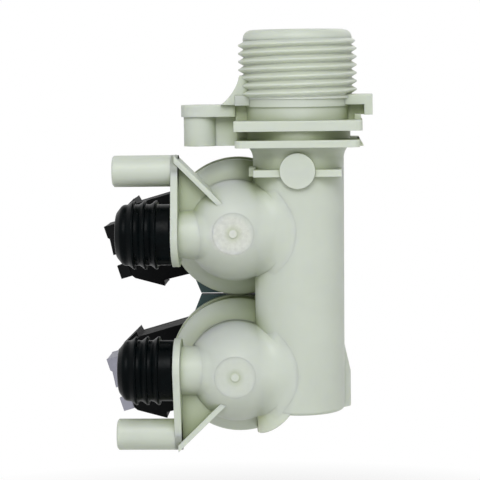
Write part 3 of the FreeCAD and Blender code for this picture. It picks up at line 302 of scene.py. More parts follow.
class Finish:
    """A procedural material that is built up socket by socket on object coordinates."""

    def __init__(self, name):
        self.material = bpy.data.materials.new(name)
        self.material.use_nodes = True
        self.tree = self.material.node_tree
        self.shader = self.tree.nodes["Principled BSDF"]
        self.place = self.tree.nodes.new("ShaderNodeTexCoord").outputs["Object"]
        self.normal = None

    def set(self, **values):
        for name, value in values.items():
            self.shader.inputs[name.replace("_", " ")].default_value = value
        return self

    def add(self, kind, **values):
        node = self.tree.nodes.new(kind)
        for name, value in values.items():
            setattr(node, name, value)
        return node

    def noise(self, scale, detail=2.0, roughness=0.5, stretch=(1, 1, 1)):
        """Noise with so many waves per metre, stretched along the axes if asked."""
        mapping = self.add("ShaderNodeMapping")
        mapping.inputs["Scale"].default_value = stretch
        self.tree.links.new(self.place, mapping.inputs["Vector"])
        noise = self.add("ShaderNodeTexNoise")
        self.tree.links.new(mapping.outputs[0], noise.inputs["Vector"])
        noise.inputs["Scale"].default_value = scale
        noise.inputs["Detail"].default_value = detail
        noise.inputs["Roughness"].default_value = roughness
        return noise.outputs["Fac"]

    def ramp(self, source, low, high, to_low=0.0, to_high=1.0):
        """Map the stretch from low to high onto another stretch, and hold it outside."""
        node = self.add("ShaderNodeMapRange", clamp=True)
        self.tree.links.new(source, node.inputs["Value"])
        for name, value in (("From Min", low), ("From Max", high), ("To Min", to_low), ("To Max", to_high)):
            node.inputs[name].default_value = value
        return node.outputs["Result"]

    def mix(self, factor, first, second):
        """Mix two colours, given as colours or as sockets. The node's sockets for colours go by their numbers."""
        node = self.add("ShaderNodeMix", data_type="RGBA")
        self.tree.links.new(factor, node.inputs["Factor"])
        for socket, value in ((node.inputs[6], first), (node.inputs[7], second)):
            if hasattr(value, "links"):
                self.tree.links.new(value, socket)
            else:
                socket.default_value = (*value, 1.0)
        return node.outputs[2]

    def colour(self, source):
        self.tree.links.new(source, self.shader.inputs["Base Color"])
        return self

    def roughness(self, source):
        self.tree.links.new(source, self.shader.inputs["Roughness"])
        return self

    def hollows(self, distance, low, high):
        """How open a place is, from the share of nearby space that the piece itself fills."""
        node = self.add("ShaderNodeAmbientOcclusion", samples=8)
        node.inputs["Distance"].default_value = distance
        return self.ramp(node.outputs["AO"], low, high)

    def front_disc(self, middle, radius, depth):
        """One on the part of the surface within this radius of a line along Y, and in front of this depth."""
        near = self.ramp(self.off_axis(middle), radius - 0.9 * MM, radius + 0.6 * MM, 1.0, 0.0)
        front = self.ramp(self.depth(), -depth - 0.2 * MM, -depth, 1.0, 0.0)
        return self.times(near, front)

    def painted_foot_shade(self, middle):
        """Painted shade at a dome's foot, in the hollow of the flare, fading out over the flare. It stays behind the
        tube's front.
        """
        foot = sizes().dome_curve
        near = self.ramp(self.off_axis(middle), foot + 0.05 * MM, foot + 2.85 * MM, 0.55, 0.0)
        inside = self.ramp(self.off_axis(middle), foot - 0.35 * MM, foot - 0.05 * MM, 0.0, 1.0)
        behind = self.ramp(self.depth(), -5.0 * MM, -2.5 * MM, 0.0, 1.0)
        return self.times(self.times(near, inside), behind)

    def painted_pip_shade(self, middle):
        """Thin ring of painted shade round the moulding pip in the middle of a dome, where a recess would be shaded, on
        its foremost part only.
        """
        inside = self.ramp(self.off_axis(middle), 0.7 * MM, 1.0 * MM, 0.0, 0.35)
        near = self.ramp(self.off_axis(middle), 1.2 * MM, 2.2 * MM, 1.0, 0.0)
        front = self.ramp(self.depth(), -12.2 * MM, -12.0 * MM, 1.0, 0.0)
        return self.times(self.times(near, inside), front)

    def underside_shade(self, most):
        """How far a place faces down, up to this most: the share of painted shade on undersides."""
        height = self.part_of(self.place.node.outputs["Normal"], "Z")
        return self.ramp(height, -0.85, 0.05, most, 0.0)

    def off_axis(self, middle):
        """Distance from a line along Y."""
        flat = self.add("ShaderNodeVectorMath", operation="MULTIPLY")
        flat.inputs[1].default_value = (1, 0, 1)
        self.tree.links.new(self.place, flat.inputs[0])
        away = self.add("ShaderNodeVectorMath", operation="DISTANCE")
        away.inputs[1].default_value = (middle[0], 0, middle[2])
        self.tree.links.new(flat.outputs[0], away.inputs[0])
        return away.outputs["Value"]

    def depth(self):
        return self.part_of(self.place, "Y")

    def part_of(self, vector, axis):
        parts = self.add("ShaderNodeSeparateXYZ")
        self.tree.links.new(vector, parts.inputs[0])
        return parts.outputs[axis]

    def times(self, first, second):
        both = self.add("ShaderNodeMath", operation="MULTIPLY")
        self.tree.links.new(first, both.inputs[0])
        self.tree.links.new(second, both.inputs[1])
        return both.outputs[0]

    def soft_edges(self, radius):
        """Light the edges as if they were rounded by this radius."""
        node = self.add("ShaderNodeBevel", samples=6)
        node.inputs["Radius"].default_value = radius
        self.normal = node.outputs["Normal"]
        return self

    def bump(self, source, strength, distance):
        node = self.add("ShaderNodeBump")
        node.inputs["Strength"].default_value = strength
        node.inputs["Distance"].default_value = distance
        self.tree.links.new(source, node.inputs["Height"])
        if self.normal is not None:
            self.tree.links.new(self.normal, node.inputs["Normal"])
        self.normal = node.outputs["Normal"]
        return self

    def finish(self):
        if self.normal is not None:
            self.tree.links.new(self.normal, self.shader.inputs["Normal"])
        return self.material


def shade(colour, factor):
    """The same colour, lighter or darker."""
    return tuple(min(1.0, channel * factor) for channel in colour)


def nylon_finish(name, painted_shade, under=0.68):
    """Natural nylon: pale grey-green, with soft flow marks, fine mould grain and a frosted disc on each dome. Painted
    shade, yellower and darker, lies in pockets, at each dome's foot and round each pip, and painted shade lies on
    undersides.
    The upper disc is clearer, partly as a painted highlight, and lies a little off the dome's middle."""
    paint = Finish(name)
    tone = colours()
    # Painted shade in hollows: less open places turn to the painted shade tone.
    open_air = paint.hollows(6 * MM, 0.25, 0.93)
    flow = paint.ramp(paint.noise(90, 3.0, 0.6), 0.3, 0.7)
    surface = paint.mix(flow, shade(tone.nylon, 0.965), shade(tone.nylon, 1.02))
    mottle = paint.ramp(paint.noise(1100, 4.0, 0.65), 0.35, 0.65)
    frosted = paint.mix(mottle, shade(tone.frosted, 0.9), shade(tone.frosted, 1.05))
    disc_depth = 12.0 * MM
    # Frosting share per disc: the upper disc's larger share is partly a painted highlight.
    for middle, frost_and_highlight, shift in zip(dome_middles(), (0.95, 0.25), ((-0.45, -0.5), (0.0, 0.0))):
        # Painted shade at the dome's foot, over the hollow of the flare.
        surface = paint.mix(paint.painted_foot_shade(middle), surface, painted_shade)
        disc_middle = (middle[0] + shift[0] * MM, 0.0, middle[2] + shift[1] * MM)
        disc = paint.ramp(paint.front_disc(disc_middle, sizes().apex_disc, disc_depth), 0.0, 1.0, 0.0, frost_and_highlight)
        surface = paint.mix(disc, surface, frosted)
        # Painted shade round the pip, where a recess would be shaded.
        surface = paint.mix(paint.painted_pip_shade(middle), surface, painted_shade)
    # Painted shade on undersides, laid over the body colour with its painted shade in hollows.
    paint.colour(paint.mix(paint.underside_shade(under), paint.mix(open_air, painted_shade, surface), tone.underside_shade))
    paint.roughness(paint.ramp(paint.noise(420, 4.0, 0.6), 0.3, 0.7, 0.38, 0.5))
    paint.set(Subsurface_Weight=0.45, Subsurface_Radius=(1.0, 1.0, 0.6), Subsurface_Scale=2.2 * MM,
              Specular_IOR_Level=0.35)
    paint.soft_edges(0.28 * MM)
    paint.bump(paint.noise(160, 2.0, 0.5), 0.25, 0.25 * MM)
    paint.bump(paint.noise(3200, 2.0, 0.5), 0.12, 0.03 * MM)
    return paint.finish()


def cloudy(paint, waves, colour, spread):
    """Colour that drifts from a little darker to a little lighter."""
    cloud = paint.ramp(paint.noise(waves, 3.0, 0.6), 0.3, 0.7)
    paint.colour(paint.mix(cloud, shade(colour, 1 - spread), shade(colour, 1 + spread)))


def plain_plastic(name, colour, grain=2600, rough=(0.42, 0.58), shine=0.4):
    """Coloured moulded plastic with a spark-eroded grain and slightly worn edges."""
    paint = Finish(name)
    paint.set(Specular_IOR_Level=shine)
    cloudy(paint, 140, colour, 0.12)
    paint.roughness(paint.ramp(paint.noise(700, 3.0, 0.6), 0.3, 0.7, *rough))
    paint.soft_edges(0.25 * MM)
    paint.bump(paint.noise(grain, 3.0, 0.55), 0.3, 0.04 * MM)
    return paint.finish()


def rubber_finish(name, colour):
    """Moulded rubber: smooth, a little blotchy, with dull bloom in places."""
    paint = Finish(name)
    paint.set(Specular_IOR_Level=0.045)
    bloom = paint.ramp(paint.noise(260, 4.0, 0.65), 0.45, 0.75)
    paint.colour(paint.mix(bloom, colour, shade(colour, 2.2)))
    paint.roughness(paint.ramp(paint.noise(900, 3.0, 0.6), 0.3, 0.7, 0.25, 0.4))
    paint.bump(paint.noise(1500, 2.0, 0.5), 0.15, 0.03 * MM)
    return paint.finish()


def metal_finish(name, colour, rough=(0.24, 0.38), stretch=(1, 1, 14)):
    """Plated or drawn metal: fine lines one way, and a faint cloudy plating."""
    paint = Finish(name)
    cloudy(paint, 320, colour, 0.08)
    paint.roughness(paint.ramp(paint.noise(900, 3.0, 0.6, stretch), 0.3, 0.7, *rough))
    paint.set(Metallic=1.0)
    paint.soft_edges(0.15 * MM)
    paint.bump(paint.noise(1400, 2.0, 0.5, stretch), 0.12, 0.02 * MM)
    return paint.finish()


def dress(node, material):
    """Give a solid its finish."""
    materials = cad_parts[node].data.materials
    materials.clear()
    materials.append(material)


# Operators

class VALVE_OT_stage(bpy.types.Operator):
    """Camera, lamps, world, floor and backdrop"""
    bl_idname = "valve.stage"
    bl_label = "Stage"

    def execute(self, context):
        self.camera(context)
        self.lamps(context)
        self.world(context)
        self.floor(context)
        return {"FINISHED"}

    def camera(self, context):
        view = context.scene.valve_view
        back = Vector((math.sin(view.azimuth) * math.cos(view.elevation),
                       -math.cos(view.azimuth) * math.cos(view.elevation), math.sin(view.elevation)))
        right = Vector((0, 0, 1)).cross(back).normalized()
        up = back.cross(right)
        tilt_right = right * math.cos(view.roll) - up * math.sin(view.roll)
        tilt_up = right * math.sin(view.roll) + up * math.cos(view.roll)
        place = Vector((view.across, 0, view.level)) + back * view.distance
        data = bpy.data.cameras.new("camera")
        data.sensor_width = 36.0
        data.lens = data.sensor_width * view.focal
        data.clip_start = 0.01
        camera = bpy.data.objects.new("camera", data)
        turn = Matrix((tilt_right, tilt_up, back)).transposed().to_4x4()
        camera.matrix_world = Matrix.Translation(place) @ turn
        context.scene.collection.objects.link(camera)
        context.scene.camera = camera

    def lamps(self, context):
        low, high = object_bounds()
        aim = (Vector(low) + Vector(high)) / 2
        distance = 0.8
        for name, way, width, power in (
            ("key", (-0.05, -1.0, 0.75), 0.4, 3.8),
            ("fill", (1.0, -0.6, 0.1), 0.5, 0.45),
            ("back", (0.5, 1.0, 0.9), 0.5, 0.8),
        ):
            data = bpy.data.lights.new(name, "AREA")
            data.shape = "SQUARE"
            data.size = width
            data.energy = power
            lamp = bpy.data.objects.new(name, data)
            way = Vector(way).normalized()
            turn = way.to_track_quat("Z", "Y").to_matrix().to_4x4()
            lamp.matrix_world = Matrix.Translation(aim + way * distance) @ turn
            context.scene.collection.objects.link(lamp)

    def world(self, context):
        world = bpy.data.worlds.new("room")
        world.use_nodes = True
        context.scene.world = world
        tree = world.node_tree
        room = tree.nodes["Background"]
        room.inputs["Strength"].default_value = 0.37
        plain = tree.nodes.new("ShaderNodeBackground")
        for background in (room, plain):
            background.inputs["Color"].default_value = (1, 1, 1, 1)
        mix = tree.nodes.new("ShaderNodeMixShader")
        tree.links.new(seen_rays(tree), mix.inputs["Fac"])
        tree.links.new(room.outputs[0], mix.inputs[1])
        tree.links.new(plain.outputs[0], mix.inputs[2])
        tree.links.new(mix.outputs[0], tree.nodes["World Output"].inputs["Surface"])

    def floor(self, context):
        low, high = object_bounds()
        drop = 45 * MM
        radius = np.array((0.02, 0.3, 1.0, 3.0))
        angle = np.linspace(0, 2 * math.pi, 64, endpoint=False)
        middle = (Vector(low) + Vector(high)) / 2
        points = np.stack([middle.x + radius[:, None] * np.cos(angle), middle.y + radius[:, None] * np.sin(angle),
                           np.full((len(radius), len(angle)), low[2] - drop)], axis=-1)
        faces = grid_faces(len(radius), len(angle))[:, ::-1].tolist() + [tuple(range(len(angle)))]
        mesh = bpy.data.meshes.new("floor")
        mesh.from_pydata(points.reshape(-1, 3).tolist(), [], faces)
        floor = bpy.data.objects.new("floor", mesh)
        context.scene.collection.objects.link(floor)
        mesh.materials.append(self.floor_finish(middle))
        floor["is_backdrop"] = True

    def floor_finish(self, middle):
        """Pale matt floor that keeps shadows near the object and turns plain white towards its edge."""
        paint = Finish("pale_floor")
        paint.set(Roughness=0.9, Specular_IOR_Level=0.2)
        grain = paint.ramp(paint.noise(40, 2.0), 0.3, 0.7)
        paint.colour(paint.mix(grain, shade(colours().floor, 0.995), colours().floor))
        tree = paint.tree
        away = paint.add("ShaderNodeVectorMath", operation="DISTANCE")
        away.inputs[1].default_value = middle
        tree.links.new(paint.place, away.inputs[0])
        edge = paint.ramp(away.outputs["Value"], 0.13, 0.2)
        white = paint.add("ShaderNodeEmission")
        lift = paint.add("ShaderNodeEmission")
        lift.inputs["Strength"].default_value = 0.12
        add = paint.add("ShaderNodeAddShader")
        tree.links.new(paint.shader.outputs[0], add.inputs[0])
        tree.links.new(lift.outputs[0], add.inputs[1])
        mix = paint.add("ShaderNodeMixShader")
        tree.links.new(paint.times(edge, seen_rays(tree)), mix.inputs["Fac"])
        tree.links.new(add.outputs[0], mix.inputs[1])
        tree.links.new(white.outputs[0], mix.inputs[2])
        tree.links.new(mix.outputs[0], tree.nodes["Material Output"].inputs["Surface"])
        return paint.material


def seen_rays(tree):
    """One for rays that show the backdrop itself: from the camera, in a reflection or through a clear piece."""
    path = tree.nodes.new("ShaderNodeLightPath")
    seen = path.outputs["Is Camera Ray"]
    for kind in ("Is Glossy Ray", "Is Transmission Ray"):
        either = tree.nodes.new("ShaderNodeMath")
        either.operation = "MAXIMUM"
        tree.links.new(seen, either.inputs[0])
        tree.links.new(path.outputs[kind], either.inputs[1])
        seen = either.outputs[0]
    return seen


class VALVE_OT_body(bpy.types.Operator):
    """One-piece nylon body: inlet, flanges, ear, manifold tube, chambers and outlets"""
    bl_idname = "valve.body"
    bl_label = "Valve body"

    def execute(self, context):
        shell = Shell()
        self.inlet(shell)
        self.flanges(shell)
        self.ear(shell)
        self.details(shell)
        for side, sign in zip(SIDES, (1, -1)):
            self.chamber(shell, node_middle(f"{side}_plunger") / MM)
            self.outlet(shell, node_middle(f"{side}_outlet_seal") / MM, sign)
        finish = nylon_finish("natural_nylon", colours().nylon_painted_shade)
        show_shell(shell, "valve_shell", "valve_body", finish)
        dress("valve_body", finish)
        return {"FINISHED"}

    def inlet(self, shell):
        """Inlet with its bore, collar and the manifold tube with its closed end: places (level, radius)."""
        size = sizes()
        core = 12.05
        bore = [(-83.6, 7.9), (-27.0, 7.9), (-27.0, 8.9), (-0.3, 8.9), (0, 9.2)]
        rim = [(0, 10.4)] + arc((0, 10.4), (-1.9, 12.15), -1.95)[1:] + [(-2.3, 12.15), (-2.3, core)]
        neck = [(-17.0, core), (-17.0, 11.7), (-25.8, 11.7), (-25.8, 11.5)]
        neck += arc((-25.8, 11.5), (TUBE_LEVELS[0], size.tube_top / MM), 3.6)
        end = arc((TUBE_LEVELS[1], size.tube_foot / MM), (-85.5, 9.05), -0.9, 6)
        shell.turn(bore + rim + neck + end, (0, 0, 1), (0, 0, 0), 192)

    def flanges(self, shell):
        """Two panel flanges with a slot between them, and the guide rails above them. Neighbouring forms overlap, and
        their faces lie a little apart so that none coincide."""
        upper = rounded([(-13.8, -13), (14.3, -13), (14.3, 13), (-13.8, 13)], [0.3, 2.2, 2.2, 0.3], 8)
        lower = rounded([(-13.7, -13), (13.7, -13), (13.7, 13), (-13.7, 13)], [2.2] * 4, 8)
        shell.prism(upper, 2, -22.2, -19.95)
        shell.prism(lower, 2, -25.8, -24.2)
        shell.prism([(13.2, -25.8), (14.6, -25.8), (13.7, -24.2), (13.2, -24.2)], 1, -5.9, 5.9)
        shell.prism([(-13.77, -16.6), (15.0, -16.6), (15.0, -18.9), (14.03, -18.9), (14.03, -20.0), (-13.77, -20.0)], 1,
                    -3.3, 5.87)
        shell.block((-13.77, -3.0, -25.65), (-10.7, 3.0, -22.1))
        rail = [(-13.8, -14.45), (16.6, -14.45), (16.6, -18.95), (14.75, -18.95), (14.75, -16.65), (-13.8, -16.65)]
        shell.prism(rail, 1, -5.9, 5.9)
        shell.block((12.6, -5.88, -20.0), (14.0, 5.88, -18.75))

    def ear(self, shell):
        """Screw ear: a plate round the hole, the boss under it, a web, and a gusset with a hollow edge. On the right a
        ray at angle a meets the plate's straight sides at min(half / |sin a|, reach / cos a)."""
        steps = 96
        screw, hole, half = -21.9, 1.6, 4.3
        top, foot = -16.45, -25.65
        angle = np.linspace(0, 2 * math.pi, steps, endpoint=False)
        across = np.maximum(np.abs(np.sin(angle)), 1e-6)
        towards = np.maximum(np.cos(angle), 1e-6)
        reach = 8.1
        edge = np.where(np.cos(angle) > 0, np.minimum(half / across, reach / towards), half)
        way = np.stack([np.cos(angle), np.sin(angle)], axis=1)
        rings = []
        for radius, level in ((edge, -19.1), (edge, top), (hole, top), (hole, -19.1)):
            flat = np.array((screw, 0.0)) + way * np.broadcast_to(radius, angle.shape)[:, None]
            rings.append(np.insert(flat, 2, level, axis=1))
        closed = grid_faces(4, steps, close_rows=True).tolist()
        shell.add(np.concatenate(rings), closed)
        boss = np.array([(foot, hole), (foot, 3.75), (-17.0, 3.75), (-17.0, hole)])
        shell.add(turned_points(boss, (0, 0, 1), (screw, 0, 0), steps), closed)
        shell.block((-18.6, -1.4, foot), (-13.6, 1.4, -17.0))
        hollow = arc((-17.0, top), (-12.72, -10.0), -11.0)
        shell.prism([(-10.3, -10.6), (-10.3, top)] + hollow, 1, -5.6, 1.0)

    def details(self, shell):
        """Front rib with its round pad and tab, and the foot lug."""
        shell.block((-9.7, -10.6, -32.28), (9.7, 0, -30.73))
        shell.block((-10.9, -5.6, -32.35), (-9.3, 0, -30.35))
        shell.turn([(0, 3.9), (11.3, 3.9)], (0, -1, 0), (0, 0, -30.95), 96)
        shell.turn([(-85.5, 3.0), (-77.5, 3.0), (-69.5, 1.2)], (0, 0, 1), (8.4, 4.0, 0), 64)

    def chamber(self, shell, middle):
        """Dome with its disc, flare, rim and the space round the seat, turned about the chamber's axis: places (depth,
        radius). The dome lies a little inside its skin."""
        disc = [(-12.68, 0.85), (-12.5, 1.1), (-12.5, 4.5), (-12.25, 4.8)]
        dome = arc((-11.7, 5.7), (-2.07, 11.25), 11.25, 24)
        flare = arc((-2.07, 11.35), (5.5, 15.05), -8.6, 18)
        rim = [(5.85, 15.4), (8.4, 15.5), (8.4, 15.9), (10.6, 15.9), (10.6, 13.6), (8.6, 13.6), (8.6, 11.9)]
        seat = [(3.0, 11.9), (3.0, 5.6), (8.6, 5.6), (9.2, 5.0), (9.2, 4.2), (-10.0, 4.2)]
        shell.turn(disc + dome + flare[1:] + rim + seat, (0, 1, 0), (middle[0], 0, middle[2]), 160)

    def outlet(self, shell, middle, sign):
        """Spout, plate, nozzle, screw pillar, gusset strip and web of one outlet."""
        depth, level = middle[1], middle[2]
        along = (1, 0, 0)
        pillar = -60.5 + 29.65 * sign
        outer, inner = -28.0, -26.45
        round_end, narrow_end = 7.2, 3.5
        shell.turn([(-16, SPOUT), (outer, SPOUT)], along, (0, depth, level), 96)
        shell.turn([(-26, 3.4), (-39.4, 3.4), (-39.4, 4.9), (-27.5, 4.9)], along, (0, depth, level), 96)
        plate = [(depth + round_end * math.cos(a), level - round_end * sign * math.sin(a))
                 for a in np.linspace(0, math.pi, 40)]
        plate += [(depth - narrow_end * math.cos(a), pillar + narrow_end * sign * math.sin(a))
                  for a in np.linspace(0, math.pi, 30)]
        shell.prism(plate, 0, outer, inner)
        post = [(-29.9, 1.45), (-41.1, 1.45), (-41.1, 3.15), (-40.75, narrow_end), (inner, narrow_end)]
        shell.turn(post, along, (0, depth, pillar), 96)
        top = pillar + narrow_end * sign
        root = inner - 0.8
        foot, drop = -14.1, top - 13.0 * sign
        thick = 1.6 * sign
        strip = [(root, top), (foot, drop), (foot, drop - thick), (root, top - thick)]
        front = [(x, depth - narrow_end - 1.7 * (x - root) / (foot - root), z) for x, z in strip]
        back = [(x, depth + narrow_end, z) for x, z in strip]
        shell.add(front + back, grid_faces(2, 4).tolist() + [range(4), range(4, 8)])
        web = [(root, top - thick / 2), (foot, drop - thick / 2), (foot, level), (root, level)]
        shell.prism(web, 1, depth - 0.7, depth + 0.7)


class VALVE_OT_inlet_thread(bpy.types.Operator):
    """Pipe thread round the inlet, as a sleeve on its core"""
    bl_idname = "valve.inlet_thread"
    bl_label = "Inlet thread"

    def execute(self, context):
        # The thread's painted shade in hollows is nearly its own colour, and it gets no painted shade on undersides.
        piece = make_piece("inlet_thread", *self.surface(), nylon_finish("thread_nylon", linear(200, 206, 190), 0.0))
        return {"FINISHED"}

    def surface(self):
        """Radius over a cylinder: root + depth * rise, where rise falls evenly from 1 on the crest to 0 in the groove.
        A crest lies where level / pitch - angle / full turn is a whole number."""
        size = sizes()
        steps = 192
        angle = np.linspace(0, 2 * math.pi, steps, endpoint=False)[None, :]
        level = np.linspace(-size.thread_start, -size.thread_end, 300)[:, None]
        phase = (level + size.thread_phase) / size.thread_pitch - angle / (2 * math.pi)
        from_crest = np.abs((phase + 0.5) % 1.0 - 0.5) * size.thread_pitch
        land, flank = 0.16 * MM, 0.66 * MM
        rise = np.clip(1 - (from_crest - land) / flank, 0, 1)
        run_in = np.clip((-size.thread_start - level) / (1.1 * MM), 0, 1)
        run_out = np.clip((level + size.thread_end) / (0.7 * MM), 0, 1)
        depth = (size.thread_crest - size.thread_root) * np.sqrt(run_in * run_out)
        radius = size.thread_root + depth * rise
        outer = np.stack([radius * np.cos(angle), radius * np.sin(angle), level + 0 * angle], axis=-1)
        inner = outer[[-1, 0]]
        inner[..., :2] = (size.thread_root - 0.6 * MM) * np.stack([np.cos(angle), np.sin(angle)], axis=-1)
        points = np.concatenate([outer, inner])
        return points, grid_faces(len(points), steps, close_rows=True)[:, ::-1]


class VALVE_OT_dome_skins(bpy.types.Operator):
    """Skin of each dome, running softly into the manifold tube and the spout"""
    bl_idname = "valve.dome_skins"
    bl_label = "Dome skins"

    def execute(self, context):
        for side, middle in zip(SIDES, dome_middles()):
            outlet = node_middle(f"{side}_outlet_seal")
            front, back = self.skins(middle, outlet)
            points = np.concatenate([front, back[:, ::-1]], axis=1)
            rows, columns = points.shape[:2]
            piece = make_piece(f"{side}_dome_skin", points, grid_faces(rows, columns, close_rows=True),
                               bpy.data.materials["natural_nylon"])
        return {"FINISHED"}

    def skins(self, middle, outlet):
        """Front and back of the skin over rings round the dome. Depths are joined by the soft least value of join. Over
        the tube the dome goes on as a skirt that keeps its slope, so that it runs out slowly; where only tube, spout
        or flare is left, the skin dips below them."""
        size = sizes()
        fan = np.radians(np.linspace(0, 360, 256, endpoint=False))[:, None]
        tilt = np.radians(np.linspace(23.2, 90, 60))
        radius = np.concatenate([size.dome_curve * np.sin(tilt), np.linspace(11.5, 15.0, 16) * MM])[None, :]
        across = middle[0] + radius * np.cos(fan)
        level = middle[2] + radius * np.sin(fan)
        shoulder = 8.5 * MM
        slope = shoulder / math.sqrt(size.dome_curve ** 2 - shoulder ** 2)
        skirt = self.dome_depth(shoulder) + slope * (radius - shoulder)
        over_tube = np.clip((across + 9.4 * MM) / (4.5 * MM), 0, 1)
        over_tube = over_tube ** 2 * (3 - 2 * over_tube)
        bare = self.dome_depth(radius) + 0 * fan
        bare = np.where(radius > shoulder, bare + over_tube * (np.minimum(skirt, bare) - bare), bare)
        taper = np.interp(-level, -np.array(TUBE_LEVELS) * MM, (size.tube_top, size.tube_foot))
        tube = self.rod_depth(across, taper - size.sink / 4, 0.0)
        spout = self.rod_depth(level - outlet[2], SPOUT * MM - size.sink, outlet[1])
        spout_end = middle[0] - 2.5 * MM
        spout = np.where((across < spout_end) & (radius <= size.dome_curve), spout, FAR_BACK)
        least = 0.01 * MM
        away = np.clip(np.cos(fan), 0, 1)
        soft = self.join(bare, tube, size.blend * away + least)
        near = np.clip((spout_end - across) / (4 * MM), 0, 1)
        soft = self.join(soft, spout, 1.6 * MM * near + least)
        others = np.minimum(tube, spout)
        hard = np.minimum(bare, others)
        unjoined = 1 - np.clip((hard - soft) / (0.05 * MM), 0, 1)
        behind = np.clip((bare - others) / (0.3 * MM), 0, 1)
        front = soft + 0.06 * MM * unjoined * np.where(radius > size.dome_curve, 1, behind)
        back = np.maximum(hard + 0.7 * MM, front + 0.3 * MM)
        return np.stack([across, front, level], axis=-1), np.stack([across, back, level], axis=-1)

    def join(self, first, second, width):
        """Soft least value: with h = 1/2 + (second - first) / (2 k) held between 0 and 1, it is
        h first + (1 - h) second - k h (1 - h)."""
        share = np.clip(0.5 + 0.5 * (second - first) / width, 0, 1)
        return share * first + (1 - share) * second - width * share * (1 - share)

    def rod_depth(self, off, radius, middle):
        """Front of a round rod at a distance off its axis, far back beside it."""
        inside = radius ** 2 - off ** 2
        return np.where(inside > 0, middle - np.sqrt(np.clip(inside, 0, None)), FAR_BACK)

    def dome_depth(self, radius):
        """Depth of dome and flare at a distance from the chamber's axis."""
        size = sizes()
        dome = -size.dome_middle - np.sqrt(np.clip(size.dome_curve ** 2 - radius ** 2, 0, None))
        flare = np.interp(radius, *np.array(arc((11.35, -2.07), (15.05, 5.5), 8.6, 18)).T * MM)
        return np.where(radius < size.dome_curve, dome, flare)


class VALVE_OT_outlet_seals(bpy.types.Operator):
    """Rubber seals with three lips that lean towards the plate"""
    bl_idname = "valve.outlet_seals"
    bl_label = "Outlet seals"

    def execute(self, context):
        finish = rubber_finish("seal_rubber", colours().rubber)
        for side in SIDES:
            node = f"{side}_outlet_seal"
            low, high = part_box(node)
            middle = node_middle(node)
            profile = rounded(*self.outline(high[0] - low[0]), 6)
            show_turned(f"{side}_seal", node, profile, (-1, 0, 0), (high[0], middle[1], middle[2]), 144, finish)
        return {"FINISHED"}

    def outline(self, length):
        """Half section from the plate outwards, as (along, radius) corners with a rounding for each."""
        size = sizes()
        barrel = size.seal_barrel
        inner = 4.95 * MM
        floor = length - 1.1 * MM
        corners = [(0.0, inner), (0.0, barrel - 0.5 * MM), (0.3 * MM, barrel)]
        radii = [0.0, 0.2 * MM, 0.3 * MM]
        for lip in range(3):
            root = (3.6 + 2.48 * lip) * MM
            corners += [(root - 0.3 * MM, barrel), (root - 0.3 * MM, size.seal_lip - 0.1 * MM),
                        (root + 0.1 * MM, size.seal_lip), (root + 1.25 * MM, barrel)]
            radii += [0.25 * MM, 0.1 * MM, 0.1 * MM, 0.4 * MM]
        corners += [(length - 1.5 * MM, barrel), (length, 4.9 * MM), (length, size.seal_mouth),
                    (floor, size.seal_mouth), (floor, inner)]
        radii += [1.1 * MM, 0.9 * MM, 0.25 * MM, 0.1 * MM, 0.1 * MM]
        return corners, radii


class VALVE_OT_bonnets(bpy.types.Operator):
    """Teal covers behind the chambers, with guide tubes"""
    bl_idname = "valve.bonnets"
    bl_label = "Bonnets"

    def execute(self, context):
        finish = plain_plastic("bonnet_plastic", colours().teal, rough=(0.38, 0.52))
        for side in SIDES:
            dress(f"{side}_bonnet", finish)
        return {"FINISHED"}


class VALVE_OT_coils(bpy.types.Operator):
    """Finishes of the coils' pieces, and the copper turns"""
    bl_idname = "valve.coils"
    bl_label = "Coils"

    def execute(self, context):
        tone = colours()
        black = plain_plastic("jacket_plastic", tone.black, grain=2200, rough=(0.5, 0.65), shine=0.08)
        bobbin = plain_plastic("bobbin_plastic", linear(206, 198, 176))
        steel = metal_finish("zinc_plated_steel", tone.steel)
        brass = metal_finish("tinned_brass", tone.brass, rough=(0.2, 0.32))
        keys = {"upper": plain_plastic("upper_key_plastic", linear(10, 11, 12), shine=0.1),
                "lower": plain_plastic("lower_key_plastic", tone.lavender, rough=(0.4, 0.55))}
        for side in SIDES:
            for part, finish in (("coil_housing", black), ("bobbin", bobbin), ("yoke", steel),
                                 ("flux_sleeve", steel), ("coil_clip", steel), ("terminals", brass),
                                 ("coding_frame", keys[side])):
                dress(f"{side}_{part}", finish)
            self.winding(side, tone.copper)
        return {"FINISHED"}

    def winding(self, side, colour):
        """Copper turns side by side: the outer radius is winding + wire * |sin(pi * along / wire pitch)|."""
        node = f"{side}_winding"
        finish = bpy.data.materials.get("copper_wire") or metal_finish("copper_wire", colour, rough=(0.22, 0.3))
        low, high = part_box(node)
        middle = node_middle(node)
        wire = sizes().wire
        length = high[1] - low[1]
        turns = int(length / (2 * wire))
        along = np.linspace(0, length, turns * 6 + 1)
        outer = (high[0] - low[0]) / 2 - wire + wire * np.abs(np.sin(math.pi * along * turns / length))
        inner = np.array([[length, 6.9 * MM], [0.0, 6.9 * MM]])
        outline = np.concatenate([np.stack([along, outer], axis=1), inner])
        show_turned(f"{side}_copper_turns", node, outline, (0, 1, 0), (middle[0], low[1], middle[2]), 96, finish)


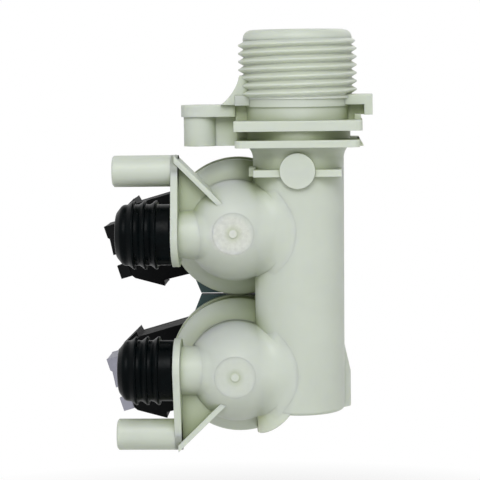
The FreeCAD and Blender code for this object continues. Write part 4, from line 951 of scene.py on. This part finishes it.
class VALVE_OT_connectors(bpy.types.Operator):
    """Coil jackets with their connectors, and the coding frames at their mouths"""
    bl_idname = "valve.connectors"
    bl_label = "Connectors"

    def execute(self, context):
        for side in SIDES:
            self.housing(side)
            self.coding_frame(side)
        return {"FINISHED"}

    def placed(self, side, outline):
        """Places (along the connector, across it) as (x, z) in mm: the connector is turned down about the coil's axis,
        x = axis - along cos t - across sin t, z = axis - along sin t + across cos t."""
        middle = node_middle(f"{side}_plunger") / MM
        turn = math.radians(16.0)
        along, across = np.array(outline, float).T
        return np.stack([middle[0] - along * math.cos(turn) - across * math.sin(turn),
                         middle[2] - along * math.sin(turn) + across * math.cos(turn)], axis=1)

    def hull(self, low, high):
        """Points inside the jacket's wall, where the connector's walls begin: along = sqrt(radius^2 - across^2)."""
        radius = 11.8
        across = np.linspace(low, high, 12)
        return np.stack([np.sqrt(radius ** 2 - across ** 2), across], axis=1).tolist()

    def walls(self, shell, side, outlines):
        """Outlines in the connector's own directions, each carried from one depth to another."""
        for outline, front, back in outlines:
            shell.prism(self.placed(side, outline), 1, front, back)

    def housing(self, side):
        """Jacket round the bobbin, and the connector's four walls with a tooth above and below."""
        low, high = (np.array(corner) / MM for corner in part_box(f"{side}_bobbin"))
        middle = node_middle(f"{side}_plunger") / MM
        inner = (high[0] - low[0]) / 2 + 0.02
        front, back = low[1], high[1]
        shell = Shell()
        outside, corner = 12.3, 0.6
        section = np.array([(front, inner), (front, outside - corner), (front + corner, outside),
                            (back - corner, outside), (back, outside - corner), (back, inner)])
        shell.add(turned_points(section, (0, 1, 0), (middle[0], 0, middle[2]), 128),
                  grid_faces(len(section), 128, close_rows=True).tolist())
        tooth_low = [(21.4, -8.1), (21.6, -9.5), (27.9, -5.7), (28.4, -5.0)]
        tooth_high = [(28.4, 8.0), (28.0, 9.6), (22.7, 12.5), (22.4, 11.2)]
        broad = self.hull(11.2, -8.7) + tooth_low + tooth_high
        upper = self.hull(11.15, 6.7) + [(28.35, 6.7), (28.35, 8.0), (27.95, 9.55), (22.7, 12.45), (22.45, 11.15)]
        lower = self.hull(-3.6, -8.65) + [(21.45, -8.05), (21.65, -9.45), (27.9, -5.65), (28.35, -5.0), (28.35, -3.6)]
        self.walls(shell, side, [(broad, 19.2, 20.3), (broad, 30.1, 31.2), (upper, 20.2, 30.2), (lower, 20.2, 30.2)])
        finish = bpy.data.materials["jacket_plastic"]
        show_shell(shell, f"{side}_jacket", f"{side}_coil_housing", finish)

    def coding_frame(self, side):
        """Frame with four walls: its front and back have two notches each, and a sleeve reaches into the socket."""
        shell = Shell()
        notched = [(28.5, -5.0), (28.5, 8.1), (31.5, 8.1), (31.4, 5.3), (31.0, 4.9), (31.3, 1.0), (29.5, 0.9),
                   (29.5, -1.6), (31.2, -1.7), (31.1, -5.0)]
        above = [(28.52, 6.5), (28.52, 8.05), (31.45, 8.05), (31.4, 6.5)]
        below = [(28.52, -4.95), (28.52, -3.4), (31.1, -3.4), (31.05, -4.95)]
        sleeve_above = [(25.5, 5.8), (28.7, 5.8), (28.7, 6.6), (25.5, 6.6)]
        sleeve_below = [(25.5, -3.5), (28.7, -3.5), (28.7, -2.7), (25.5, -2.7)]
        sleeve_side = [(25.52, -3.45), (28.68, -3.45), (28.68, 6.55), (25.52, 6.55)]
        self.walls(shell, side, [(notched, 19.25, 20.7), (notched, 29.7, 31.15), (above, 20.6, 29.8),
                                 (below, 20.6, 29.8), (sleeve_above, 20.45, 29.95), (sleeve_below, 20.45, 29.95),
                                 (sleeve_side, 20.42, 21.2), (sleeve_side, 29.2, 29.98)])
        finish = bpy.data.materials[f"{side}_key_plastic"]
        show_shell(shell, f"{side}_key", f"{side}_coding_frame", finish)


class VALVE_OT_inner_pieces(bpy.types.Operator):
    """Plungers, tips, diaphragms, inserts, regulator and strainer"""
    bl_idname = "valve.inner_pieces"
    bl_label = "Inner pieces"

    def execute(self, context):
        stainless = metal_finish("stainless_steel", (0.5, 0.5, 0.51), rough=(0.18, 0.3), stretch=(1, 14, 1))
        grey = rubber_finish("diaphragm_rubber", linear(74, 76, 78))
        black = bpy.data.materials["seal_rubber"]
        white = plain_plastic("white_plastic", linear(222, 222, 214))
        dress("regulator_ring", black)
        dress("flow_regulator", white)
        dress("inlet_strainer", plain_plastic("strainer_plastic", linear(104, 124, 132)))
        for side in SIDES:
            dress(f"{side}_plunger", stainless)
            dress(f"{side}_plunger_tip", black)
            dress(f"{side}_diaphragm", grey)
            dress(f"{side}_diaphragm_insert", white)
            dress(f"{side}_plunger_spring", stainless)
        return {"FINISHED"}


OPERATORS = (VALVE_OT_stage, VALVE_OT_body, VALVE_OT_inlet_thread, VALVE_OT_dome_skins, VALVE_OT_outlet_seals,
             VALVE_OT_bonnets, VALVE_OT_coils, VALVE_OT_connectors, VALVE_OT_inner_pieces)
GROUPS = (ValveSizes, ValveColours, ValveView)


class VALVE_PT_sidebar(bpy.types.Panel):
    """Lists the steps that finish the valve"""
    bl_idname = "VALVE_PT_sidebar"
    bl_label = "Inlet Valve"
    bl_space_type = "VIEW_3D"
    bl_region_type = "UI"
    bl_category = "Inlet Valve"

    def draw(self, context):
        for operator in OPERATORS:
            self.layout.operator(operator.bl_idname)
        for group in (context.scene.valve_sizes, context.scene.valve_colours, context.scene.valve_view):
            for name in group.__annotations__:
                self.layout.prop(group, name)


def register():
    for item in (*GROUPS, *OPERATORS, VALVE_PT_sidebar):
        bpy.utils.register_class(item)
    bpy.types.Scene.valve_sizes = PointerProperty(type=ValveSizes)
    bpy.types.Scene.valve_colours = PointerProperty(type=ValveColours)
    bpy.types.Scene.valve_view = PointerProperty(type=ValveView)


def unregister():
    del bpy.types.Scene.valve_view
    del bpy.types.Scene.valve_colours
    del bpy.types.Scene.valve_sizes
    for item in reversed((*GROUPS, *OPERATORS, VALVE_PT_sidebar)):
        bpy.utils.unregister_class(item)


def main():
    register()
    bpy.context.scene.view_settings.view_transform = "Standard"
    bpy.ops.valve.stage()
    bpy.ops.valve.body()
    bpy.ops.valve.inlet_thread()
    bpy.ops.valve.dome_skins()
    bpy.ops.valve.outlet_seals()
    bpy.ops.valve.bonnets()
    bpy.ops.valve.coils()
    bpy.ops.valve.connectors()
    bpy.ops.valve.inner_pieces()


if __name__ == "__main__":
    main()
